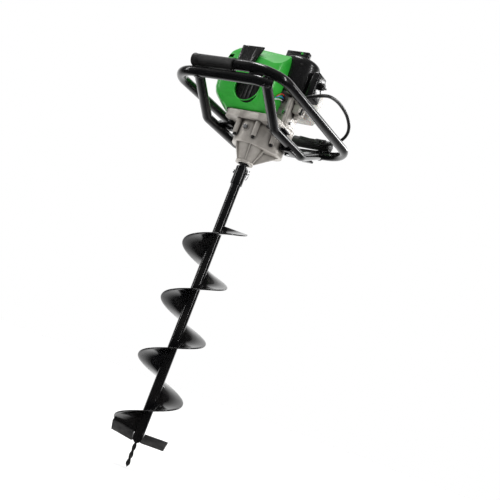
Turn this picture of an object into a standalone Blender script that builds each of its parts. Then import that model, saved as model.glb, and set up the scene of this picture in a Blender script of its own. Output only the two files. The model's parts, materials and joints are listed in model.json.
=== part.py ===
"""Petrol hole auger: a two-hand tube frame, a vertical-shaft engine, a reduction gearbox and a screw bit.

Every height is measured up from the gearbox's output face, on the screw's axis.
The root empty then lowers the model, so that the world origin is midway between the two hand grips.
X runs along the grips, Y from the plain grip to the throttle grip, Z up the screw's axis.
"""
import math

import bmesh
import bpy
from mathutils import Matrix, Vector

GAP = 0.0003

# Handle frame
TUBE_R = 0.0125
TUBE_WALL = 0.002
FRONT_Y = -0.2425
REAR_Y = 0.253
LEFT_X = -0.141
RIGHT_X = 0.157
FRONT_GRIP_Z = 0.160
FRONT_RAIL_Z = 0.1303
REAR_GRIP_Z = 0.180
REAR_RAIL_Z = 0.1465
RIGHT_CORNER_Z = 0.1557
RAIL_BEND_X = 0.117
RAIL_END = (0.146, -0.2230)
FAR_CORNER_Z = 0.136
BEND_R = 0.072
GRIP_END_X = 0.080
GRIP_LENGTH = 0.118
GRIP_R = 0.0153
GRIP_HEIGHT = (FRONT_GRIP_Z + REAR_GRIP_Z) / 2

# Cradle under the gearbox
CRADLE_X = 0.1023
CRADLE_Z = 0.078
CRADLE_HALF_RUN = 0.083
CRADLE_BEND_R = 0.045
CRADLE_TOP_NEAR = 0.055
CRADLE_TOP_FAR = 0.139

# Gear train: two stages of spur gears from the engine's axis to the screw's axis
GEAR_MODULE = 0.00125
PINION_TEETH = 10
LAY_TEETH = 40
OUTPUT_TEETH = 60
ENGINE_X = 0.042
ENGINE_Y = 0.028
SHAFT_R = 0.005
CRANK_BORE_R = 0.0061
OUTPUT_SHAFT_R = 0.0095
BEARING_R = 0.0152
BEARING_LEVELS = (0.006, 0.041)

# Gearbox and engine castings
NECK_R = 0.0237
BODY_R = 0.050
BODY_LOW = 0.046
BODY_TOP = 0.104
RIB_TOP = 0.0475
BOSS_CIRCLE_R = 0.057
BOSS_R = 0.0068
BOSSES = ((-120, BOSS_CIRCLE_R), (-60, BOSS_CIRCLE_R), (-10, 0.0655), (165, BOSS_CIRCLE_R))
SCREW_HOLE_R = 0.0027
PLUG_Z = 0.083
PLUG_FACE_Y = -0.0525
PLATE_TOP = 0.1243
CASE_LOW = PLATE_TOP + GAP
CASE_TOP = 0.205
CASE_HALF = 0.031
CYLINDER_Z = 0.170
DRUM_R = 0.052
DRUM_TOP = 0.318
DRUM_LOW = 0.2088

# Screw bit
SLEEVE_TOP = -0.0093
SLEEVE_LOW = -0.0565
SLEEVE_R = 0.0158
PIN_Z = -0.024
PIN_R = 0.0033
CLIP_X = 0.0200
BIT_SHAFT_R = 0.0128
BIT_SHAFT_TOP = -0.0445
BIT_SHAFT_LOW = -0.748
FLIGHT_R = 0.075
FLIGHT_TOP = -0.1715
FLIGHT_PITCH = 0.1443
FLIGHT_PITCH_GROWTH = 0.0027
FLIGHT_TURNS = 3.54
FLIGHT_START_ANGLE = math.radians(31.7)
SHEET = 0.0032
PILOT_TIP = -0.814

COLORS = {
    "black_paint": ((0.012, 0.012, 0.013), 0.3, 0.0),
    "black_plastic": ((0.014, 0.014, 0.015), 0.45, 0.0),
    "rubber": ((0.02, 0.02, 0.021), 0.75, 0.0),
    "green_plastic": ((0.02, 0.33, 0.035), 0.35, 0.0),
    "cast_aluminium": ((0.60, 0.57, 0.53), 0.42, 0.9),
    "steel": ((0.55, 0.55, 0.56), 0.3, 1.0),
    "dark_steel": ((0.05, 0.05, 0.055), 0.4, 0.8),
    "tank_plastic": ((0.80, 0.77, 0.72), 0.4, 0.0),
    "red_wire": ((0.6, 0.02, 0.02), 0.5, 0.0),
    "rope": ((0.75, 0.74, 0.70), 0.8, 0.0),
}


def clear_scene():
    for obj in list(bpy.data.objects):
        bpy.data.objects.remove(obj)


clear_scene()
MODEL = bpy.data.collections.new("hole_auger")
CUTTERS = bpy.data.collections.new("cutters")
bpy.context.scene.collection.children.link(MODEL)
bpy.context.scene.collection.children.link(CUTTERS)


def make_material(name, color, roughness, metallic):
    material = bpy.data.materials.new(name)
    material.use_nodes = True
    shader = material.node_tree.nodes["Principled BSDF"]
    shader.inputs["Base Color"].default_value = (*color, 1.0)
    shader.inputs["Roughness"].default_value = roughness
    shader.inputs["Metallic"].default_value = metallic
    return material


def make_empty(name, place, parent=None):
    empty = bpy.data.objects.new(name, None)
    empty.location = place
    empty.parent = parent
    MODEL.objects.link(empty)
    return empty


ROOT = make_empty("powerhead", (0, 0, -GRIP_HEIGHT))


def place(obj, name, color, parent=ROOT, at=(0, 0, 0)):
    """Name a finished object, give it its own material and hang it on its parent."""
    obj.name = name
    for collection in list(obj.users_collection):
        collection.objects.unlink(obj)
    MODEL.objects.link(obj)
    obj.parent = parent
    obj.location = at
    obj.data.materials.clear()
    obj.data.materials.append(make_material(name, *COLORS[color]))
    if obj.type == "MESH":
        obj.data.shade_smooth()
        obj.data.set_sharp_from_angle(angle=math.radians(35))
    return obj


def mesh_object(bm, shift=(0, 0, 0)):
    bmesh.ops.translate(bm, vec=Vector(shift), verts=bm.verts)
    bmesh.ops.recalc_face_normals(bm, faces=bm.faces)
    mesh = bpy.data.meshes.new("mesh")
    bm.to_mesh(mesh)
    bm.free()
    obj = bpy.data.objects.new("mesh", mesh)
    bpy.context.scene.collection.objects.link(obj)
    return obj


def box(low, high):
    bm = bmesh.new()
    bmesh.ops.create_cube(bm, size=1.0)
    size = [b - a for a, b in zip(low, high)]
    bmesh.ops.scale(bm, vec=size, verts=bm.verts)
    return mesh_object(bm, [(a + b) / 2 for a, b in zip(low, high)])


def rod(start, end, radius, sides=16, end_radius=None):
    """A cylinder or cone between two points."""
    start, end = Vector(start), Vector(end)
    bm = bmesh.new()
    tip = radius if end_radius is None else end_radius
    length = (end - start).length
    bmesh.ops.create_cone(bm, cap_ends=True, segments=sides, radius1=radius, radius2=tip, depth=length)
    turn = Vector((0, 0, 1)).rotation_difference(end - start).to_matrix().to_4x4()
    bmesh.ops.transform(bm, matrix=Matrix.Translation((start + end) / 2) @ turn, verts=bm.verts)
    return mesh_object(bm)


def apply_modifiers(obj):
    """Turn an object with modifiers, or a curve, into one plain welded mesh in its parent's space."""
    bpy.context.view_layer.update()
    evaluated = obj.evaluated_get(bpy.context.evaluated_depsgraph_get())
    mesh = bpy.data.meshes.new_from_object(evaluated)
    mesh.transform(obj.matrix_world)
    bm = bmesh.new()
    bm.from_mesh(mesh)
    bmesh.ops.remove_doubles(bm, verts=bm.verts, dist=0.000005)
    bmesh.ops.recalc_face_normals(bm, faces=bm.faces)
    bm.to_mesh(mesh)
    bm.free()
    bpy.data.objects.remove(obj)
    result = bpy.data.objects.new("mesh", mesh)
    bpy.context.scene.collection.objects.link(result)
    return result


def boolean(obj, others, operation):
    for other in others:
        modifier = obj.modifiers.new(operation.lower(), "BOOLEAN")
        modifier.operation = operation
        modifier.object = other
        modifier.solver = "EXACT"
    result = apply_modifiers(obj)
    for other in others:
        bpy.data.objects.remove(other)
    return result


def union(obj, *others):
    return boolean(obj, others, "UNION")


def cut(obj, *others):
    return boolean(obj, others, "DIFFERENCE")


def bevelled(obj, width, segments=2):
    modifier = obj.modifiers.new("rounded edges", "BEVEL")
    modifier.width = width
    modifier.segments = segments
    modifier.limit_method = "ANGLE"
    modifier.angle_limit = math.radians(40)
    return apply_modifiers(obj)


def turned(profile, steps=24, axis_at=(0, 0, 0), closed=False):
    """Turn a profile of (radius, height) points, listed down its outer side, about Z."""
    mesh = bpy.data.meshes.new("profile")
    points = [(radius, 0, height) for radius, height in profile]
    edges = [(i, i + 1) for i in range(len(points) - 1)]
    if closed:
        edges.append((len(points) - 1, 0))
    mesh.from_pydata(points, edges, [])
    obj = bpy.data.objects.new("profile", mesh)
    bpy.context.scene.collection.objects.link(obj)
    screw = obj.modifiers.new("turned", "SCREW")
    screw.steps = steps
    screw.render_steps = steps
    screw.use_merge_vertices = True
    screw.merge_threshold = 0.00001
    result = apply_modifiers(obj)
    result.data.transform(Matrix.Translation(axis_at))
    return result


def ring(outer, inner, low, high, steps=24, axis_at=(0, 0, 0)):
    return turned([(outer, high), (outer, low), (inner, low), (inner, high)], steps, axis_at, closed=True)


def extruded(loops, low, high):
    """A flat outline, with holes as further loops, thickened between two heights."""
    curve = bpy.data.curves.new("outline", "CURVE")
    curve.dimensions = "2D"
    curve.fill_mode = "BOTH"
    curve.extrude = (high - low) / 2
    for loop in loops:
        spline = curve.splines.new("POLY")
        spline.points.add(len(loop) - 1)
        for point, (x, y) in zip(spline.points, loop):
            point.co = (x, y, 0, 1)
        spline.use_cyclic_u = True
    obj = bpy.data.objects.new("outline", curve)
    obj.location.z = (low + high) / 2
    bpy.context.scene.collection.objects.link(obj)
    return apply_modifiers(obj)


def upright(obj, y_middle):
    """Stand a flat outline up: its Y becomes height, and its thickness runs along world Y."""
    turn = Matrix(((1, 0, 0, 0), (0, 0, -1, y_middle), (0, 1, 0, 0), (0, 0, 0, 1)))
    obj.data.transform(turn)
    return obj


def circle(radius, center=(0, 0), sides=24, start=0.0):
    angles = [start + 2 * math.pi * i / sides for i in range(sides)]
    return [(center[0] + radius * math.cos(a), center[1] + radius * math.sin(a)) for a in angles]


def hull_outline(circles, sides=24):
    """The convex outline round a set of (x, y, radius) circles."""
    points = sorted({p for x, y, r in circles for p in circle(r, (x, y), sides)})

    def half(ordered):
        chain = []
        for p in ordered:
            while len(chain) > 1:
                ax, ay = chain[-1][0] - chain[-2][0], chain[-1][1] - chain[-2][1]
                bx, by = p[0] - chain[-2][0], p[1] - chain[-2][1]
                if ax * by - ay * bx > 0:
                    break
                chain.pop()
            chain.append(p)
        return chain[:-1]

    return half(points) + half(points[::-1])


def filleted(points, radii, steps=4):
    """Replace each inner corner of a polyline by an arc that touches both of its sides."""
    points = [Vector(p) for p in points]
    path = [points[0]]
    for before, corner, after, radius in zip(points, points[1:-1], points[2:], radii):
        into, out = (before - corner).normalized(), (after - corner).normalized()
        half = into.angle(out) / 2
        reach = radius / math.tan(half)
        center = corner + (into + out).normalized() * radius / math.sin(half)
        first, last = corner + into * reach - center, corner + out * reach - center
        sweep = first.angle(last)
        for i in range(steps + 1):
            t = i / steps
            a, b = math.sin((1 - t) * sweep), math.sin(t * sweep)
            path.append(center + (first * a + last * b) / math.sin(sweep))
    path.append(points[-1])
    return path


def smooth_path(points, spacing):
    """Sample a smooth curve through a short list of points at an even spacing."""
    points = [Vector(p) for p in points]
    ends = [points[0] * 2 - points[1]] + points + [points[-1] * 2 - points[-2]]
    dense = []
    for p0, p1, p2, p3 in zip(ends, ends[1:], ends[2:], ends[3:]):
        for i in range(40):
            t = i / 40
            dense.append(0.5 * (2 * p1 + (p2 - p0) * t + (2 * p0 - 5 * p1 + 4 * p2 - p3) * t * t
                                + (3 * p1 - p0 - 3 * p2 + p3) * t ** 3))
    dense.append(points[-1])
    total = sum((b - a).length for a, b in zip(dense, dense[1:]))
    count = max(2, round(total / spacing))
    path, walked, target = [dense[0]], 0.0, total / count
    for a, b in zip(dense, dense[1:]):
        step = (b - a).length
        while walked + step >= target and len(path) < count:
            path.append(a.lerp(b, (target - walked) / step))
            target += total / count
        walked += step
    path.append(dense[-1])
    return path


def tube(path, radius, resolution=4, hollow=0.0):
    """A round tube along a path: solid with flat ends, or hollow with open ends."""
    curve = bpy.data.curves.new("tube", "CURVE")
    curve.dimensions = "3D"
    curve.bevel_depth = radius
    curve.bevel_resolution = resolution
    curve.use_fill_caps = not hollow
    spline = curve.splines.new("POLY")
    spline.points.add(len(path) - 1)
    for point, place_at in zip(spline.points, path):
        point.co = (*place_at, 1)
    obj = bpy.data.objects.new("tube", curve)
    bpy.context.scene.collection.objects.link(obj)
    if hollow:
        wall = obj.modifiers.new("wall", "SOLIDIFY")
        wall.thickness = hollow
        wall.offset = -1
    return obj


def gear_outline(teeth, phase=0.0):
    """Slim straight-sided teeth about the pitch circle, with running clearance all round."""
    pitch_r = GEAR_MODULE * teeth / 2
    rows = ((-1.20, 0.30), (0.80, 0.11))
    outline = []
    for tooth in range(teeth):
        middle = phase + 2 * math.pi * tooth / teeth
        step = 2 * math.pi / teeth
        for side, order in ((-1, rows), (1, rows[::-1])):
            for height, width in order:
                angle = middle + side * width * step
                radius = pitch_r + height * GEAR_MODULE
                outline.append((radius * math.cos(angle), radius * math.sin(angle)))
    return outline


ENGINE = Vector((ENGINE_X, ENGINE_Y))
STAGE_1 = GEAR_MODULE * (PINION_TEETH + LAY_TEETH) / 2
STAGE_2 = GEAR_MODULE * (PINION_TEETH + OUTPUT_TEETH) / 2


def lay_shaft_place():
    """Where the lay shaft meshes with both the engine's pinion and the output gear."""
    reach = ENGINE.length
    along = (reach ** 2 + STAGE_2 ** 2 - STAGE_1 ** 2) / (2 * reach)
    aside = math.sqrt(STAGE_2 ** 2 - along ** 2)
    unit = ENGINE.normalized()
    return unit * along + Vector((-unit.y, unit.x)) * aside


LAY = lay_shaft_place()
ENGINE_AXIS = (ENGINE.x, ENGINE.y, 0)
LAY_AXIS = (LAY.x, LAY.y, 0)
LOW_GEARS = (0.0585, 0.0705)
HIGH_GEARS = (0.0795, 0.0905)


def body_circles(shrink=0.0):
    return [(0, 0, BODY_R - shrink), (ENGINE.x, ENGINE.y, 0.037 - shrink), (LAY.x, LAY.y, 0.0315 - shrink)]


def boss_places():
    """Centres of the four screw bosses, from their angles round the screw's axis and their distances."""
    return [(r * math.cos(math.radians(a)), r * math.sin(math.radians(a))) for a, r in BOSSES]


def neck_rib(foot, head, half_width, angle):
    """An upright rib from the neck out to the underside of the gearbox's body."""
    outline = [(0.018, 0.006), (foot, 0.008), (head, RIB_TOP), (0.018, RIB_TOP)]
    rib = upright(extruded([outline], -half_width, half_width), 0)
    rib.data.transform(Matrix.Rotation(angle, 4, "Z"))
    return rib


def gearbox_housing():
    profile = [(0, 0.050), (0.0385, 0.050), (0.0385, BODY_LOW), (0.0305, 0.026), (0.0228, 0.0085),
               (NECK_R, 0.0075), (NECK_R, 0.0005), (0.0225, 0), (0, 0)]
    neck = turned(profile, 28)
    body = extruded([hull_outline(body_circles(), 28)], BODY_LOW, BODY_TOP)
    ribs = [neck_rib(0.0245, 0.0455, 0.0016, math.radians(angle)) for angle in range(-60, 300, 60)]
    web = neck_rib(0.026, 0.080, 0.0028, math.atan2(ENGINE.y, ENGINE.x))
    bosses = [rod((x, y, 0.0635), (x, y, BODY_TOP - 0.0002), BOSS_R, 12) for x, y in boss_places()]
    webs = [box((-0.008, -0.0025, 0.075), (0, 0.0025, BODY_TOP - 0.0004)) for _ in boss_places()]
    for web_block, (x, y) in zip(webs, boss_places()):
        web_block.data.transform(Matrix.Translation((x, y, 0)) @ Matrix.Rotation(math.atan2(y, x), 4, "Z"))
    plug_pad = rod((0, -0.040, PLUG_Z), (0, PLUG_FACE_Y, PLUG_Z), 0.0085, 14)
    housing = union(neck, body, *ribs, web, *bosses, *webs, plug_pad)
    cavity = extruded([hull_outline(body_circles(0.004), 28)], 0.0545, 0.120)
    seal_bore = ring_cutter(0.0155, -0.01, 0.060)
    lay_pocket = ring_cutter(0.0042, 0.0485, 0.06, LAY, 16)
    plug_hole = rod((0, -0.030, PLUG_Z), (0, -0.060, PLUG_Z), 0.0052, 12)
    screw_holes = [rod((x, y, 0.055), (x, y, 0.11), SCREW_HOLE_R, 8) for x, y in boss_places()]
    housing = cut(housing, cavity, seal_bore, lay_pocket, plug_hole, *screw_holes)
    place(housing, "gearbox_housing", "cast_aluminium")


def ring_cutter(radius, low, high, at=(0, 0), sides=20):
    return rod((*at, low), (*at, high), radius, sides)


def clutch_housing():
    outline = hull_outline([(x, y, 0.019) for x in (-0.059, 0.060) for y in (-0.041, 0.045)], 16)
    plate = extruded([outline], BODY_TOP + GAP, PLATE_TOP)
    tab_levels = (BODY_TOP + GAP, PLATE_TOP - 0.004)
    tabs = [ring_cutter(0.011, *tab_levels, (x * 1.03, y * 1.03), 14) for x, y in boss_places()]
    plate = union(bevelled(plate, 0.0012, 1), *tabs)
    pocket = ring_cutter(0.0335, 0.1083, 0.14, ENGINE, 28)
    stem_bore = ring_cutter(SHAFT_R + GAP, 0.10, 0.11, ENGINE, 16)
    output_pocket = ring_cutter(0.0078, 0.10, 0.1118)
    lay_pocket = ring_cutter(0.0042, 0.10, 0.1076, LAY, 16)
    holes = [rod((x, y, 0.10), (x, y, 0.13), SCREW_HOLE_R, 8) for x, y in boss_places()]
    lightening = [box((-0.048, -0.030, 0.112), (-0.012, 0.040, 0.13))]
    plate = cut(plate, pocket, stem_bore, output_pocket, lay_pocket, *holes, *lightening)
    place(plate, "clutch_housing", "cast_aluminium")


def gearbox_screws():
    for number, (x, y) in enumerate(boss_places(), 1):
        shank = rod((x, y, 0.0632 - 0.001), (x, y, 0.121), 0.0024, 10)
        head = rod((x, y, 0.0570), (x, y, 0.0632), 0.0046, 14)
        socket = rod((x, y, 0.056), (x, y, 0.0595), 0.0023, 6)
        place(cut(union(head, shank), socket), f"gearbox_screw_{number}", "dark_steel")


def oil_plug():
    head = rod((0, PLUG_FACE_Y - GAP, PLUG_Z), (0, PLUG_FACE_Y - 0.0052, PLUG_Z), 0.0072, 6)
    thread = rod((0, PLUG_FACE_Y + 0.009, PLUG_Z), (0, PLUG_FACE_Y - 0.001, PLUG_Z), 0.0045, 12)
    place(union(head, thread), "oil_plug", "steel")


def output_bearing():
    """One long ring that carries the output shaft in the gearbox's neck."""
    place(ring(BEARING_R, OUTPUT_SHAFT_R + GAP, *BEARING_LEVELS), "output_bearing", "steel")


def gear(name, teeth, levels, bore, parent_at, phase):
    bore_loop = circle(bore, sides=16)
    place(extruded([gear_outline(teeth, phase), bore_loop], *levels), name, "steel", at=parent_at)


def gear_train():
    to_lay_from_output = math.atan2(LAY.y, LAY.x)
    to_lay_from_engine = math.atan2(LAY.y - ENGINE.y, LAY.x - ENGINE.x)
    half_pinion = math.pi / PINION_TEETH
    gear("output_gear", OUTPUT_TEETH, LOW_GEARS, OUTPUT_SHAFT_R + GAP, (0, 0, 0), to_lay_from_output)
    low_pinion = extruded([gear_outline(PINION_TEETH, to_lay_from_output + half_pinion)], *LOW_GEARS)
    high_gear = extruded([gear_outline(LAY_TEETH, to_lay_from_engine)], *HIGH_GEARS)
    lay_shaft = turned([(0, 0.1070), (0.0039, 0.1070), (0.0039, 0.0495), (0, 0.0495)], 16)
    place(union(low_pinion, high_gear, lay_shaft), "lay_gear", "steel", at=LAY_AXIS)
    drive = extruded([gear_outline(PINION_TEETH, to_lay_from_engine + half_pinion)], *HIGH_GEARS)
    drum = turned([(0, 0.1108), (0.0295, 0.1108), (0.0295, 0.1225), (0.0315, 0.1225), (0.0315, 0.1088),
                   (SHAFT_R, 0.1088), (SHAFT_R, 0.0790), (0, 0.0790)], 32)
    place(union(drive, drum), "clutch_drum", "dark_steel", at=ENGINE_AXIS)


def clutch():
    arms = extruded([circle(0.0282)], 0.1125, 0.1215)
    slots = [box((x, -0.0012, 0.11), (x + 0.0175, 0.0012, 0.13)) for x in (0.0125, -0.03)]
    bore = ring_cutter(CRANK_BORE_R, 0.11, 0.13, (0, 0), 16)
    place(cut(arms, *slots, bore), "clutch_rotor", "steel", at=ENGINE_AXIS)


def crankcase():
    x, y = ENGINE
    shape = bevelled(box((x - CASE_HALF, y - 0.030, CASE_LOW), (x + CASE_HALF, y + 0.028, CASE_TOP)), 0.006, 2)
    flange = box((x - 0.034, y - 0.034, CASE_LOW), (x + 0.033, y + 0.031, CASE_LOW + 0.006))
    bosses = [ring_cutter(0.006, CASE_LOW, 0.199, (x + dx, y - 0.029), 10) for dx in (-0.020, 0.020)]
    ribs = [box((x - 0.025, y - 0.0325, z), (x + 0.025, y - 0.02, z + 0.0022)) for z in (0.150, 0.170, 0.190)]
    case = union(shape, bevelled(flange, 0.002, 1), *bosses, *ribs)
    chamber = ring_cutter(0.0262, 0.151, 0.189, ENGINE, 24)
    through = ring_cutter(CRANK_BORE_R, 0.12, 0.21, ENGINE, 16)
    to_cylinder = rod((ENGINE.x, ENGINE.y, CYLINDER_Z), (ENGINE.x - 0.04, ENGINE.y, CYLINDER_Z), 0.0198, 20)
    intake = rod((ENGINE.x + 0.02, ENGINE.y, 0.178), (ENGINE.x + 0.04, ENGINE.y, 0.178), 0.0078, 12)
    place(cut(case, chamber, through, to_cylinder, intake), "crankcase", "cast_aluminium")


def along_x(obj, shift=(0, 0, 0)):
    """Lay a piece that was turned about Z down, so its top points along -X."""
    obj.data.transform(Matrix.Translation(shift) @ Matrix.Rotation(math.radians(-90), 4, "Y"))
    return obj


def cylinder_and_piston():
    base = ENGINE.x - CASE_HALF - GAP
    fins = [(0.0235, 0.0), (0.0235, 0.008)]
    for i in range(5):
        level = 0.012 + i * 0.011
        fins += [(0.0235, level), (0.0325, level), (0.0325, level + 0.0030), (0.0235, level + 0.0030)]
    top = 0.068
    profile = [(0, top), (0.020, top)] + fins[::-1] + [(0.0193, 0.0), (0.0193, 0.055), (0, 0.055)]
    barrel = along_x(turned(profile, 20), (base, ENGINE.y, CYLINDER_Z))
    plug_hole = rod((base - 0.05, ENGINE.y, CYLINDER_Z), (base - 0.08, ENGINE.y, CYLINDER_Z), 0.0052, 14)
    place(cut(barrel, plug_hole), "cylinder", "cast_aluminium")
    crown = turned([(0, 0.024), (0.0190, 0.024), (0.0190, 0.0), (0.0155, 0.0), (0.0155, 0.020), (0, 0.020)], 20)
    skirt = along_x(crown)
    connecting_rod = rod((0.0185, 0, 0), (-0.022, 0, 0), 0.004, 10)
    piston_at = (ENGINE.x - 0.043, ENGINE.y, CYLINDER_Z)
    place(union(skirt, connecting_rod), "piston_and_rod", "steel", at=piston_at)
    plug_at = base - top
    shell = turned([(0, 0.034), (0.0028, 0.034), (0.0028, 0.026), (0.0055, 0.024), (0.0055, 0.0105),
                    (0.0085, 0.0105), (0.0085, GAP), (0.0048, GAP), (0.0048, -0.0095), (0, -0.0095)], 14)
    place(along_x(shell, (plug_at, ENGINE.y, CYLINDER_Z)), "spark_plug", "steel")


def crankshaft():
    journal, web = 0.0058, 0.024
    lower = turned([(0, 0.1618), (web, 0.1618), (web, 0.1535), (journal, 0.1535), (journal, 0.1128),
                    (0, 0.1128)], 20)
    upper = turned([(0, 0.256), (journal, 0.256), (journal, 0.1865), (web, 0.1865), (web, 0.1782),
                    (0, 0.1782)], 20)
    pin = rod((0.015, 0, 0.158), (0.015, 0, 0.182), 0.005, 14)
    place(union(lower, upper, pin), "crankshaft", "steel", at=ENGINE_AXIS)


def flywheel():
    wheel = ring(0.042, CRANK_BORE_R, 0.2115, 0.2175, 24)
    hub = ring(0.014, CRANK_BORE_R, 0.2115, 0.2290, 12)
    blades = []
    for i in range(8):
        blade = box((0.018, -0.0008, 0.2165), (0.0445, 0.0008, 0.2290))
        blade.data.transform(Matrix.Rotation(2 * math.pi * i / 8, 4, "Z"))
        blades.append(blade)
    place(union(wheel, hub, *blades), "flywheel", "cast_aluminium", at=ENGINE_AXIS)


def starter_reel():
    """A pulley whose groove holds the wound rope."""
    reel = turned([(0.030, 0.2520), (0.030, 0.2500), (0.021, 0.2495), (0.021, 0.2400), (0.030, 0.2395),
                   (0.030, 0.2375), (0.0062, 0.2375), (0.0062, 0.2520)], 20, closed=True)
    place(reel, "starter_reel", "black_plastic", at=ENGINE_AXIS)


def starter_housing():
    """A cup turned over the flywheel and reel, with an eyelet for the rope and five slots in its top."""
    wall = 0.0025
    height = DRUM_TOP - DRUM_LOW
    outside = [(0, 0), (0.030, 0), (0.044, 0.003), (0.0505, 0.011), (DRUM_R, 0.022), (DRUM_R, height)]
    inside = [(DRUM_R - wall, height), (DRUM_R - wall, 0.022), (0.048, 0.012), (0.042, 0.0055),
              (0.029, wall), (0, wall)]
    housing = turned([(radius, DRUM_TOP - depth) for radius, depth in outside + inside], 32)
    eyelet = ring_cutter(0.0042, DRUM_TOP - 0.02, DRUM_TOP + 0.02, ROPE_AT - ENGINE, 12)
    vents = []
    for i in range(5):
        slot = box((0.025, -0.0016, DRUM_TOP - 0.02), (0.037, 0.0016, DRUM_TOP + 0.02))
        slot.data.transform(Matrix.Rotation(math.radians(-20 + 35 * i), 4, "Z"))
        vents.append(slot)
    place(cut(housing, eyelet, *vents), "starter_housing", "black_plastic", at=ENGINE_AXIS)


ROPE_AT = Vector((0.030, 0.012))
HANDLE_HALF = 0.034


def starter_handle():
    low = DRUM_TOP + GAP
    bar = box((-HANDLE_HALF, -0.0085, low), (HANDLE_HALF, 0.0085, low + 0.0195))
    bar = bevelled(bar, 0.003, 2)
    grooves = [box((-0.05, side * 0.0085 - 0.0009, low + z), (0.05, side * 0.0085 + 0.0009, low + z + 0.0022))
               for side in (-1, 1) for z in (0.0052, 0.0110)]
    rope_hole = ring_cutter(0.0026, low - 0.01, low + 0.012, (0, 0), 12)
    plug_hole = rod((0.014, -0.0095, low + 0.0128), (0.014, -0.006, low + 0.0128), 0.0038, 16)
    place(cut(bar, *grooves, rope_hole, plug_hole), "starter_handle", "black_plastic", at=(*ROPE_AT, 0))
    plug = rod((0.014, -0.0096, low + 0.0128), (0.014, -0.0063, low + 0.0128), 0.0035, 16)
    place(plug, "handle_plug", "green_plastic", at=(*ROPE_AT, 0))
    rope = turned([(0, low + 0.0115), (0.0022, low + 0.0115), (0.0022, 0.2600), (0, 0.2600)], 10)
    place(rope, "starter_rope", "rope", at=(*ROPE_AT, 0))


SHROUD_X = (-0.131, 0.046)
SHROUD_Y = (-0.082, 0.076)
SHROUD_CORNER_R = 0.024
OPENING_AT = (-0.021, 0.180)
OPENING_R = 0.038


def engine_shroud():
    """Lofted cover: rounded-box rings that swell out from the foot and close in to a domed top."""
    rows = ((0.1275, 0.030), (0.136, 0.021), (0.150, 0.010), (0.172, 0.002), (0.210, 0.0), (0.252, 0.002),
            (0.278, 0.007), (0.293, 0.014), (0.302, 0.024))
    bm = bmesh.new()
    loops = []
    for height, inset in rows:
        outline = rounded_ring(SHROUD_X[0] + inset, SHROUD_X[1] - inset * 0.35, SHROUD_Y[0] + inset,
                               SHROUD_Y[1] - inset, SHROUD_CORNER_R, 6)
        loops.append([bm.verts.new((x, y, height)) for x, y in outline])
    for low, high in zip(loops, loops[1:]):
        for i in range(len(low)):
            j = (i + 1) % len(low)
            bm.faces.new((low[i], low[j], high[j], high[i]))
    bm.faces.new(loops[-1])
    skin = mesh_object(bm)
    wall = skin.modifiers.new("wall", "SOLIDIFY")
    wall.thickness = 0.0022
    wall.offset = -1
    skin = apply_modifiers(skin)
    opening_x, opening_z = OPENING_AT
    opening = rod((opening_x, -0.12, opening_z), (opening_x, -0.060, opening_z), OPENING_R, 28)
    engine_bay = box((-0.012, -0.0085, 0.10), (0.12, 0.12, 0.34))
    drum_bay = ring_cutter(DRUM_R + 0.0022, 0.200, 0.34, ENGINE, 40)
    slot = box((-0.118, -0.10, 0.256), (-0.100, -0.03, 0.267))
    place(cut(skin, opening, engine_bay, drum_bay, slot), "engine_shroud", "green_plastic")


def rounded_ring(x0, x1, y0, y1, radius, steps):
    """A rounded rectangle with the same number of points on every ring, for lofting."""
    points = []
    for cx, cy, start in ((x1 - radius, y1 - radius, 0), (x0 + radius, y1 - radius, 90),
                          (x0 + radius, y0 + radius, 180), (x1 - radius, y0 + radius, 270)):
        for i in range(steps):
            angle = math.radians(start + 90 * i / (steps - 1))
            points.append((cx + radius * math.cos(angle), cy + radius * math.sin(angle)))
    return points


def shroud_panel():
    """Trapezoid grille on the shroud's front shoulder, leaning back with it."""
    outline = [(-0.026, -0.027), (0.026, -0.027), (0.032, 0.024), (-0.034, 0.024)]
    panel = bevelled(upright(extruded([outline], -0.0015, 0.0015), 0), 0.0008, 1)
    lean = Matrix.Rotation(math.radians(-13), 4, "X")
    panel.data.transform(Matrix.Translation((-0.051, -0.0795, 0.272)) @ lean)
    place(panel, "shroud_panel", "black_plastic")


def muffler():
    body = bevelled(box((-0.066, -0.066, 0.143), (0.002, -0.0052, 0.2055)), 0.008, 2)
    ribs = [box((x, -0.0685, 0.152), (x + 0.003, -0.06, 0.198)) for x in (-0.052, -0.040, -0.028, -0.016)]
    shell = union(body, *ribs)
    outlet = rod((-0.006, -0.030, 0.157), (-0.006, -0.075, 0.157), 0.0045, 12)
    chamber = box((-0.063, -0.063, 0.146), (-0.001, -0.0082, 0.2025))
    place(cut(shell, chamber, outlet), "muffler", "dark_steel")


def carburettor():
    """Carburettor body with its float bowl, its through port and the slanted lug that holds the conduit."""
    low_x = ENGINE.x + CASE_HALF + GAP
    core = bevelled(box((low_x, 0.008, 0.166), (low_x + 0.020, 0.044, 0.2085)), 0.003, 2)
    bowl = rod((low_x + 0.010, ENGINE.y, 0.158), (low_x + 0.010, ENGINE.y, 0.168), 0.009, 18)
    mouth = Vector(CONDUIT_ROUTE[0])
    outward = (Vector(CONDUIT_ROUTE[1]) - mouth).normalized()
    cable_lug = rod(mouth - outward * 0.014, mouth - outward * GAP, CONDUIT_R, 14)
    port = rod((low_x - 0.01, ENGINE.y, 0.178), (low_x + 0.03, ENGINE.y, 0.178), 0.0078, 16)
    place(cut(union(core, bowl, cable_lug), port), "carburettor", "cast_aluminium")


FILTER_X = (0.0950, 0.1185)
FILTER_Y = (0.000, 0.050)
FILTER_Z = (0.2095, 0.286)
KNOB_AT = (0.027, 0.256)


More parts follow.
